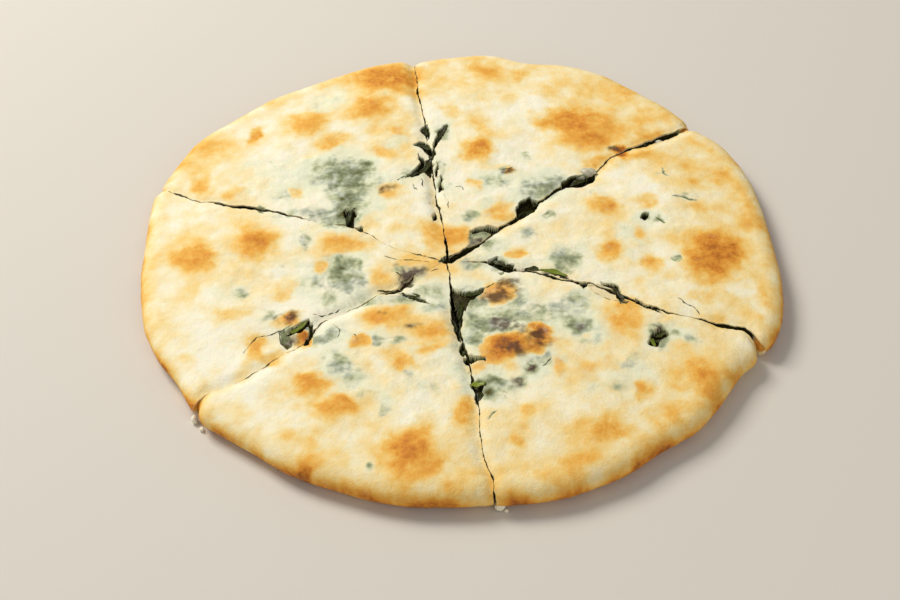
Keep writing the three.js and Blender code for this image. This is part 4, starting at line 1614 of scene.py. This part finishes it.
        # Between the crust bands the face is painted darker: leaf colour, partly the filling's own and partly
        # painted shade of the gap, and golden brown out at the rim as painted shade.
        inner = ramp(depth, band, band + 0.5) * ramp(left, 1.2, 2.4)
        blotches = layered_noise(line[:, 0], line[:, 1], 8.0, Seed.LEAF_AND_SHADE_WALLS, 2)
        leaf_and_shade = ramp(border(inside) + 3.0 * blotches, 3.0, 9.0)
        baked = border(values[Field.BROWNING]) * ramp(depth, 1.2, 0.0)
        wall_values = blank_values(depth) | {
            Field.BROWNING: baked + 0.6 * inner * (1.0 - leaf_and_shade),
            Field.GREENS_AND_SHADE: 1.45 * inner * leaf_and_shade,
            Field.BLUSH: np.full_like(depth, 0.3),
            Field.CRUMB: ramp(depth, 0.05, 0.5) * (1.0 - inner),
        }
        hung = surface.add_points(wall, wall_values)
        strip = np.concatenate([border(upper)[None, :], hung], axis=0)
        surface.add_grid(strip, flip=True)

    def dress(self, finish: Material) -> bpy.types.Object:
        """Make the piece, which stands for the slice's dough.

        Args:
            finish: Its material.

        Returns:
            The piece.
        """
        name = f"crust_{self.plan.place}"
        piece = make_piece(self.build(), name, finish, self.sharp_degrees)
        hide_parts(f"dough_{self.plan.place}")
        return piece


@dataclass
class FillingSlice:
    """The filling of one slice: a ragged slab that runs through it and stands a little proud at both cuts.

    clear is the room between it and the dough at the rim and below, and short how far it stops short of the
    point.
    """

    plan: SlicePlan
    rows: int = 250
    under_columns: int = 6
    side_rows: int = 12
    top_columns: int = 90
    proud: float = 0.42
    clear: float = 0.35
    short: float = 0.6
    sharp_degrees: float = 60.0

    def section(self) -> tuple[Array, Array]:
        """Give one way round the slab's cross-section.

        Returns:
            Shares across and shares of its height.
        """
        bottom = np.linspace(0.0, 1.0, self.under_columns, endpoint=False)
        side = np.linspace(0.0, 1.0, self.side_rows, endpoint=False)
        even = np.linspace(0.0, 1.0, self.top_columns, endpoint=False)
        over = 1.0 - (0.5 * even + 0.25 * (1.0 - np.cos(np.pi * even)))
        across = np.concatenate([bottom, np.ones_like(side), over, np.zeros_like(side)])
        height = np.concatenate([np.zeros_like(bottom), side, np.ones_like(over), 1.0 - side])
        return across, height

    def build(self) -> Surface:
        """Make the slab.

        Each row is the section carried out from the point to the rim's inner side. The ceiling follows the
        unbroken top crust a crust's thickness below it, with leafy bumps and the tears' hollows. In the last
        stretch the slab thins towards its middle height, as the root of one less a squared smooth step.

        Returns:
            The closed surface.
        """
        across, height = self.section()
        out = np.linspace(0.0, 1.0, self.rows + 1)[:, None]
        u = across[None, :] * np.ones_like(out)
        edge = self.plan.edge(u) - EDGE_CRUST - self.clear
        start = TIP_RADIUS + self.short
        distance = start + (edge - start) * out
        x, y = self.plan.place_at(u, distance, self.proud)
        bumps = 0.42 * layered_noise(x, y, 3.4, Seed.BUMPS, 3)
        bumps = bumps + 0.2 * layered_noise(x, y, 1.5, Seed.FINE_BUMPS, 2)
        _, hollow, _ = tear_fields(x, y)
        ceiling = top_height(self.plan, u, distance) - TOP_CRUST - 0.45 + bumps - hollow
        floor = BASE_CRUST + self.clear
        closing = np.sqrt(np.clip(1.0 - ramp(out, 0.975, 1.0) ** 2, 0.0, 1.0))
        middle = 0.5 * (ceiling + floor)
        z = middle + (floor + height * (ceiling - floor) - middle) * np.maximum(closing, 0.2)
        surface = Surface()
        grid = surface.add_points(np.stack([x, y, z], axis=-1))
        ring = np.concatenate([grid, grid[:, :1]], axis=1)
        surface.add_grid(ring)
        ends = surface.add_points(np.array([[x[k].mean(), y[k].mean(), z[k].mean()] for k in (0, -1)]))
        surface.add_fan(grid[0], ends[0], flip=True)
        surface.add_fan(grid[-1], ends[1])
        return surface

    def dress(self, finish: Material) -> bpy.types.Object:
        """Make the piece, which stands for the slice's filling.

        Args:
            finish: Its material.

        Returns:
            The piece.
        """
        name = f"filling_{self.plan.place}"
        piece = make_piece(self.build(), name, finish, self.sharp_degrees)
        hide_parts(name)
        return piece


@dataclass(frozen=True)
class Scrap:
    """A shred of leaf: its middle, size, heading, pitch and roll in degrees, and tone from dark to bright."""

    x: float
    y: float
    z: float
    length: float
    width: float
    heading: float
    pitch: float = 0.0
    roll: float = 0.0
    tone: float = 0.1


SCRAPS = (
    Scrap(-5, 79.5, 12.8, 12, 3.4, 64, 6, 10, 0.25),
    Scrap(-2.8, 84, 13.4, 7, 2.4, 52, 10, -10, 0.4),
    Scrap(-12.5, 83, 12.4, 6, 2.4, 100, 0, 20, 0.15),
    Scrap(-13.5, 70.5, 12.4, 8, 2.8, 140, 0, 8, 0.15),
    Scrap(-13, 55.5, 12.2, 12, 3, 60, 0, 10, 0.12),
    Scrap(-19, 49.8, 12.4, 6, 2, 38, 0, 0, 0.25),
    Scrap(-8.8, 63.5, 12, 8, 2, 92, 0, 30, 0.12),
    Scrap(-50, 19.5, 11.8, 10, 2.6, 82, 0, 5, 0.12),
    Scrap(82.8, -69, 11.6, 5, 2.2, 95, 0, 30, 0.8),
    Scrap(86.4, -64.6, 11.4, 5, 2.2, 40, 0, 0, 0.45),
    Scrap(85.6, -68.4, 11.2, 4.4, 2, -20, 0, 0, 0.3),
    Scrap(43.5, -24.2, 13.1, 13, 2, -21, 0, 26, 0.75),
    Scrap(44.5, -26, 12.4, 12, 1.8, -22, 0, 20, 0.05),
    Scrap(34.5, -20.8, 12.6, 8, 2, -12, 0, 20, 0.15),
    Scrap(20.5, -16.2, 12.6, 9, 2.2, -30, 0, 5, 0.25),
    Scrap(6.4, -90.4, 12.9, 6.4, 2.6, 8, 6, 0, 0.8),
    Scrap(7.6, -96, 12.2, 7, 2.6, 64, 0, 10, 0.2),
    Scrap(0.4, -44, 12, 12, 2.4, 92, 0, 24, 0.15),
    Scrap(0.6, -56.5, 11.8, 10, 2.4, 96, 0, 18, 0.12),
    Scrap(7, -35.2, 12.8, 9, 1.6, 22, 0, 20, 0.45),
    Scrap(-70.2, -52.2, 12.9, 10, 2, 38, 2, 10, 0.72),
    Scrap(-20, -35.4, 13, 11, 1.4, -18, 0, 12, 0.5),
    Scrap(34, 20.5, 9, 11, 3.6, 42, 0, 12, 0.08),
    Scrap(60, 39.4, 11.8, 9, 2.2, 26, 0, 20, 0.2),
    Scrap(72, -40, 12.2, 6, 1.6, -72, 0, 10, 0.15),
)


@dataclass
class LeafScraps:
    """Shreds of leaf that stick out at the cuts and in the tears, joined as one mesh.

    Those that are scattered lie between the distances nearest and farthest from the crossing.
    """

    scraps: tuple[Scrap, ...] = SCRAPS
    scattered_per_cut: int = 26
    nearest: float = 8.0
    farthest: float = 120.0
    along: int = 11
    over: int = 5
    thickness: float = 0.32
    seed: int = 7

    def scattered(self) -> Array:
        """Draw more scraps at random along the cuts, standing on edge in the gaps just below the crust.

        Returns:
            One row for each scrap, in the order of the fields of Scrap.
        """
        chance = np.random.default_rng(self.seed)
        rows = []
        for cut in CUTS:
            count = self.scattered_per_cut
            distance = self.nearest + (self.farthest - self.nearest) * chance.beta(1.3, 1.5, count)
            side = chance.choice([-1.0, 1.0], count)
            share = distance / circle_distance(math.radians(cut.angle))
            aside = through(cut.wander, share) + side * (0.5 * through(cut.gap, share) + 0.1)
            bearing = math.radians(cut.angle) + np.arctan2(aside, distance)
            columns = [
                CROSSING[0] + distance * np.cos(bearing),
                CROSSING[1] + distance * np.sin(bearing),
                chance.uniform(8.0, 11.2, count),
                chance.uniform(3.0, 6.5, count),
                chance.uniform(1.2, 2.6, count),
                cut.angle + chance.normal(0.0, 14.0, count),
                chance.normal(0.0, 12.0, count),
                chance.uniform(40.0, 100.0, count),
                chance.beta(1.0, 3.0, count) * 0.45,
            ]
            rows.append(np.stack(columns, axis=-1))
        return np.concatenate(rows)

    def build(self) -> Surface:
        """Make all scraps at once.

        A scrap is a grid of shares from -1 to 1 along and over it. Its half width is the root of one less
        the square of the share along, a little wavy; it folds up from its midrib, curls with the square of
        the share along, and ruffles as a sine. Each grid is turned by roll, pitch and heading and moved to
        its place.

        Returns:
            The open sheets; a modifier gives them their thickness.
        """
        table = np.concatenate([np.array([astuple(scrap) for scrap in self.scraps]), self.scattered()])
        chance = np.random.default_rng(self.seed + 1)
        phase = chance.uniform(0.0, 6.28, (len(table), 1, 1))
        curl = chance.uniform(-0.9, 0.9, (len(table), 1, 1))
        curl = curl * np.clip(table[:, 3, None, None] / 6.0, 0.0, 1.0)
        s = np.linspace(-1.0, 1.0, self.along)[None, :, None]
        t = np.linspace(-1.0, 1.0, self.over)[None, None, :]
        length, width = (table[:, k, None, None] for k in (3, 4))
        half = 0.5 * width * np.sqrt(1.02 - s**2) * (1.0 + 0.22 * np.sin(5.0 * s + phase))
        a = 0.5 * length * s + 0.0 * t
        b = t * half + 0.05 * length * np.sin(2.2 * s + phase)
        c = 0.1 * width * np.abs(t) + curl * s**2 + 0.08 * width * np.sin(6.0 * s + phase) * t
        local = np.stack(np.broadcast_arrays(a, b, c), axis=-1)
        heading, pitch, roll = (np.radians(table[:, k]) for k in (5, 6, 7))
        turned = np.einsum("nij,nabj->nabi", rotations(heading, pitch, roll), local)
        points = turned + table[:, None, None, :3]
        surface = Surface()
        surface.add_grid(surface.add_points(points, {Field.TONE: table[:, 8, None, None]}))
        return surface

    def dress(self, finish: Material) -> bpy.types.Object:
        """Make the piece and give the sheets their thickness.

        Args:
            finish: Its material.

        Returns:
            The piece.
        """
        piece = make_piece(self.build(), "leaf_scraps", finish)
        shell = piece.modifiers.new("leaf thickness", "SOLIDIFY")
        shell.thickness = self.thickness * MM
        shell.offset = 0.0
        return piece


def rotations(heading: Array, pitch: Array, roll: Array) -> Array:
    """Give the matrices that roll about X, then pitch about Y, then head about Z.

    Args:
        heading: Angles about Z in radians.
        pitch: Angles about Y.
        roll: Angles about X.

    Returns:
        One 3 by 3 matrix for each angle.
    """
    zero, one = np.zeros_like(heading), np.ones_like(heading)
    ch, sh, cp, sp, cr, sr = (f(angle) for angle in (heading, pitch, roll) for f in (np.cos, np.sin))
    about_z = np.stack([ch, -sh, zero, sh, ch, zero, zero, zero, one], axis=-1).reshape(-1, 3, 3)
    about_y = np.stack([cp, zero, -sp, zero, one, zero, sp, zero, cp], axis=-1).reshape(-1, 3, 3)
    about_x = np.stack([one, zero, zero, zero, cr, -sr, zero, sr, cr], axis=-1).reshape(-1, 3, 3)
    return about_z @ about_y @ about_x


@dataclass(frozen=True)
class Crack:
    """A thin crack in a slice's top crust: the points it runs through, its greatest width and its tone."""

    place: str
    path: tuple[tuple[float, float], ...]
    width: float = 0.8
    tone: float = 0.0


CRACKS = (
    Crack("left", ((-93.8, -66.5), (-90.5, -60.5), (-87.5, -56.6), (-82.5, -56.2), (-77.5, -53.6),
        (-73, -51)), 0.6),
    Crack("left", ((-64, -45.6), (-58, -44.8), (-52.5, -41.5)), 0.6),
    Crack("left", ((-79.2, -55), (-78.2, -59.6), (-75, -64.6)), 0.6),
    Crack("left", ((-33.5, -9.5), (-26, -12.2), (-19.5, -12.6), (-12.5, -14.2)), 0.6),
    Crack("left", ((-29.5, -19), (-25.5, -22.5), (-26.5, -26)), 0.7),
    Crack("front_left", ((-55, -52), (-52.5, -56), (-53.5, -60)), 0.5),
    Crack("front_left", ((-46.5, -59), (-44.5, -62.5)), 0.8),
    Crack("front_left", ((-12, -20.5), (-7.5, -19)), 0.5, 0.4),
    Crack("front_left", ((-36, -31), (-27, -32.2), (-22.4, -35.1), (-17.1, -38.6), (-12.5, -41)),
        1.2),
    Crack("front_right", ((60.5, -37.5), (64, -40.6), (69.5, -43.8), (74, -46.4)), 0.5),
    Crack("front_right", ((9.5, -33.5), (14.5, -31.5), (20, -27.5)), 0.7, 0.2),
    Crack("front_right", ((38, -78), (34.5, -82)), 0.7),
    Crack("right", ((97, -43.5), (99, -47.5), (103, -50), (105, -54.5)), 0.7, 0.1),
    Crack("back_right", ((0.5, 38.5), (3.5, 38.2), (5.5, 35.5)), 0.5),
    Crack("back_right", ((-5, 33), (-3, 28), (-2.8, 23)), 0.5),
    Crack("back_right", ((22, 49.5), (27.5, 49), (31, 51)), 0.5, 0.1),
    Crack("back_left", ((-23, 48), (-27, 44.5)), 0.6),
    Crack("back_left", ((-15.5, 45.5), (-14, 39.5)), 0.5),
    Crack("back_left", ((-20, -7.5), (-15, -9.4), (-11, -12)), 0.5),
)


@dataclass
class CrustCracks:
    """Thin cracks in the top crust, each a ribbon in the leaf's colours that lies on its slice's surface,
    joined as one mesh: partly leaf that shows in a crack, partly painted shade of the slit.
    """

    cracks: tuple[Crack, ...] = CRACKS
    steps: int = 40
    lift: float = 0.04
    seed: int = 21

    def build(self) -> Surface:
        """Make all ribbons.

        A ribbon's middle line runs smoothly through its points and strays at random; its half width is a
        random share of the greatest, pinched to nothing at both ends; its height is the crust's own, a hair
        above it.

        Returns:
            The ribbons.
        """
        surface = Surface()
        share = np.linspace(0.0, 1.0, self.steps)
        across_ribbon = np.array([-1.0, 0.0, 1.0])
        for number, crack in enumerate(self.cracks):
            plan = next(p for p in PLANS if p.place == crack.place)
            xs, ys = (through(axis, share) for axis in zip(*crack.path))
            run = np.concatenate([[0.0], np.cumsum(np.hypot(np.diff(xs), np.diff(ys)))])
            xs = xs + 0.45 * layered_noise(run, run * 0.0 + 9.0 * number, 2.6, self.seed, 3)
            ys = ys + 0.45 * layered_noise(run, run * 0.0 + 9.0 * number, 2.6, self.seed + 9, 3)
            tangent = unit(np.stack([np.gradient(xs), np.gradient(ys)], axis=-1))
            uneven = 0.6 + 0.9 * layered_noise(run, run * 0.0 + 5.0 * number, 1.8, self.seed + 20, 2)
            pinched = np.sqrt(np.sin(np.pi * (0.02 + 0.96 * share)))
            half = 0.5 * crack.width * np.clip(uneven, 0.0, 1.2) * pinched
            x = xs[:, None] - tangent[:, 1:] * half[:, None] * across_ribbon
            y = ys[:, None] + tangent[:, :1] * half[:, None] * across_ribbon
            z = top_height(plan, *plan.locate(x, y)) + self.lift
            tone = {Field.TONE: np.full(x.shape, crack.tone)}
            surface.add_grid(surface.add_points(np.stack([x, y, z], axis=-1), tone))
        return surface

    def dress(self, finish: Material) -> bpy.types.Object:
        """Make the piece with its finish."""
        return make_piece(self.build(), "crust_cracks", finish)


@dataclass(frozen=True)
class Lump:
    """A soft lump: its middle and its half sizes along X, Y and Z."""

    x: float
    y: float
    z: float
    half_x: float
    half_y: float
    half_z: float


@dataclass
class Lumps:
    """A few soft lumps of one stuff, joined as one mesh."""

    name: str
    lumps: tuple[Lump, ...]
    slot: str
    rings: int = 12
    spokes: int = 20
    uneven: float = 0.22
    seed: int = 3

    def build(self) -> Surface:
        """Make all lumps at once.

        Each is a ball of rings from pole to pole, scaled to the lump's half sizes and pushed in and out at
        random.

        Returns:
            The closed surfaces.
        """
        table = np.array([astuple(lump) for lump in self.lumps])
        polar = np.linspace(0.0, np.pi, self.rings + 2)[1:-1, None]
        turn = np.linspace(0.0, 2.0 * np.pi, self.spokes, endpoint=False)[None, :]
        sides = (np.sin(polar) * np.cos(turn), np.sin(polar) * np.sin(turn), np.cos(polar))
        ball = np.stack(np.broadcast_arrays(*sides), axis=-1)
        shift = np.arange(len(table))[:, None, None] * 7.0
        first, second = ball[..., 0] * 1.6 + ball[..., 2] + shift, ball[..., 1] * 1.6 - ball[..., 2]
        push = 1.0 + self.uneven * layered_noise(first, second, 1.1, self.seed, 3)
        rings = table[:, None, None, :3] + ball * table[:, None, None, 3:] * push[..., None]
        poles = table[:, None, :3] + np.array([[0.0, 0.0, 1.0], [0.0, 0.0, -1.0]]) * table[:, None, 3:]
        surface = Surface()
        numbers = surface.add_points(rings)
        ends = surface.add_points(poles)
        joined = np.concatenate([numbers, numbers[:, :, :1]], axis=2)
        surface.add_grid(joined)
        surface.add_fan(numbers[:, 0], ends[:, 0])
        surface.add_fan(numbers[:, -1], ends[:, 1], flip=True)
        return surface

    def dress(self, finish: Material) -> bpy.types.Object:
        """Make the piece with its finish."""
        return make_piece(self.build(), self.name, finish)


CHEESE = (
    Lump(65.6, 46.2, 12.7, 4.4, 2.8, 2),
    Lump(61.5, 44.2, 11.4, 2.6, 2, 1.6),
    Lump(-12.5, 63, 11.4, 1.6, 1.4, 0.9),
    Lump(29, -20.5, 12.4, 2, 1.2, 1),
    Lump(12, 3, 11, 3, 1.4, 1.4),
    Lump(-36, -35.5, 11.2, 2.4, 1.2, 1.2),
    Lump(2.4, -83, 11.4, 1.6, 1.6, 1.2),
    Lump(103, 69, 10.6, 2.4, 1.2, 1.4),
)

CRUMBS = (
    Lump(12.8, -146.6, 2.2, 2.3, 1.3, 1.9),
    Lump(15.2, -147.6, 0.8, 0.9, 0.8, 0.8),
    Lump(-113.8, -93.2, 1.7, 1.4, 1.7, 1.7),
    Lump(-110.4, -98.2, 0.9, 1, 1.1, 0.9),
)


# ----------------------------------------------------------------------------
# The studio
# ----------------------------------------------------------------------------


@dataclass(frozen=True)
class StudioCamera:
    """A camera given by where it stands and what it looks at, in millimetres, and its roll in degrees."""

    stand: tuple[float, float, float] = (-3.756, -515.205, 478.024)
    target: tuple[float, float, float] = (-3.756, -25.529, 0.0)
    roll: float = -2.357
    lens: float = 60.0
    sensor: float = 36.0

    def place(self) -> bpy.types.Object:
        """Make the scene's camera.

        Its depth axis points back from the target, its right axis is level, and both others turn by the
        roll.

        Returns:
            The camera object.
        """
        data = bpy.data.cameras.new("studio camera")
        data.lens = self.lens
        data.sensor_width = self.sensor
        data.clip_start = 0.01
        back = (Vector(self.stand) - Vector(self.target)).normalized()
        level = Vector((0.0, 0.0, 1.0)).cross(back).normalized()
        over = back.cross(level)
        turn = math.radians(self.roll)
        right = math.cos(turn) * level + math.sin(turn) * over
        up = math.cos(turn) * over - math.sin(turn) * level
        camera = place_object("studio camera", data)
        basis = Matrix((right, up, back)).transposed().to_4x4()
        basis.translation = Vector(self.stand) * MM
        camera.matrix_world = basis
        bpy.context.scene.camera = camera
        return camera


@dataclass(frozen=True)
class SoftLight:
    """A square soft light: where it stands and looks and its side in metres, its power and its colour."""

    name: str
    stand: tuple[float, float, float]
    side: float
    power: float
    tint: str = "#FFFFFF"
    target: tuple[float, float, float] = (0.0, 0.0, 0.0)

    def place(self) -> bpy.types.Object:
        """Make the light, turned to its target.

        Returns:
            The light's object.
        """
        data = bpy.data.lights.new(self.name, "AREA")
        data.shape = "SQUARE"
        data.size = self.side
        data.energy = self.power
        data.color = colour(self.tint)[:3]
        light = place_object(self.name, data)
        light.location = self.stand
        aim = Vector(self.target) - Vector(self.stand)
        light.rotation_euler = aim.to_track_quat("-Z", "Y").to_euler()
        return light


@dataclass(frozen=True)
class Studio:
    """A pale floor under soft light; floor_drop keeps it just clear of the bread's underside."""

    lights: tuple[SoftLight, ...] = (
        SoftLight("key softbox", (-1.06, 0.94, 1.42), 0.88, 36.5, "#FFF9F0"),
        SoftLight("front fill", (0.5, -1.3, 0.9), 1.2, 4.5, "#FFF9F2"),
    )
    sky: str = "#F4F2EE"
    sky_strength: float = 0.34
    floor_half: float = 3.0
    floor_drop: float = 0.05 * MM

    def place(self) -> None:
        """Make the floor, the sky and the lights."""
        data = bpy.data.meshes.new("studio floor")
        signs = ((-1, -1), (1, -1), (1, 1), (-1, 1))
        corners = [(i * self.floor_half, j * self.floor_half, -self.floor_drop) for i, j in signs]
        data.from_pydata(corners, [], [(0, 1, 2, 3)])
        data.materials.append(StudioPaint().material())
        place_object("studio floor", data)
        world = bpy.data.worlds.new("studio sky")
        world.use_nodes = True
        world.node_tree.nodes.clear()
        inputs = {"Color": colour(self.sky), "Strength": self.sky_strength}
        sky = add_node(world.node_tree, "ShaderNodeBackground", None, inputs)
        add_node(world.node_tree, "ShaderNodeOutputWorld", None, {"Surface": sky.outputs[0]})
        bpy.context.scene.world = world
        bpy.context.scene.view_settings.view_transform = "Standard"
        for light in self.lights:
            light.place()


def report(piece: bpy.types.Object) -> None:
    """Log a piece's name and how many faces it has."""
    log.info("%s: %d faces", piece.name, len(piece.data.polygons))


def main() -> None:
    """Build the bread slice by slice, then what shows at its cuts, then the studio round it."""
    dough = BakedDough().material()
    greens = ChoppedGreens().material()
    for plan in PLANS:
        report(CrustSlice(plan).dress(dough))
        report(FillingSlice(plan).dress(greens))
    leaf = WiltedLeaf().material()
    report(LeafScraps().dress(leaf))
    # The cracks wear the leaf's finish: partly leaf in the crack, partly painted shade of the slit.
    report(CrustCracks().dress(leaf))
    report(Lumps("cheese_bits", CHEESE, "greens").dress(WhiteCheese().material()))
    report(Lumps("dough_crumbs", CRUMBS, "crust", 8, 12).dress(BakedDough().material("white dough crumb")))
    StudioCamera().place()
    Studio().place()


if __name__ == "__main__":
    logging.basicConfig(level=logging.INFO, format="%(name)s: %(message)s")
    main()
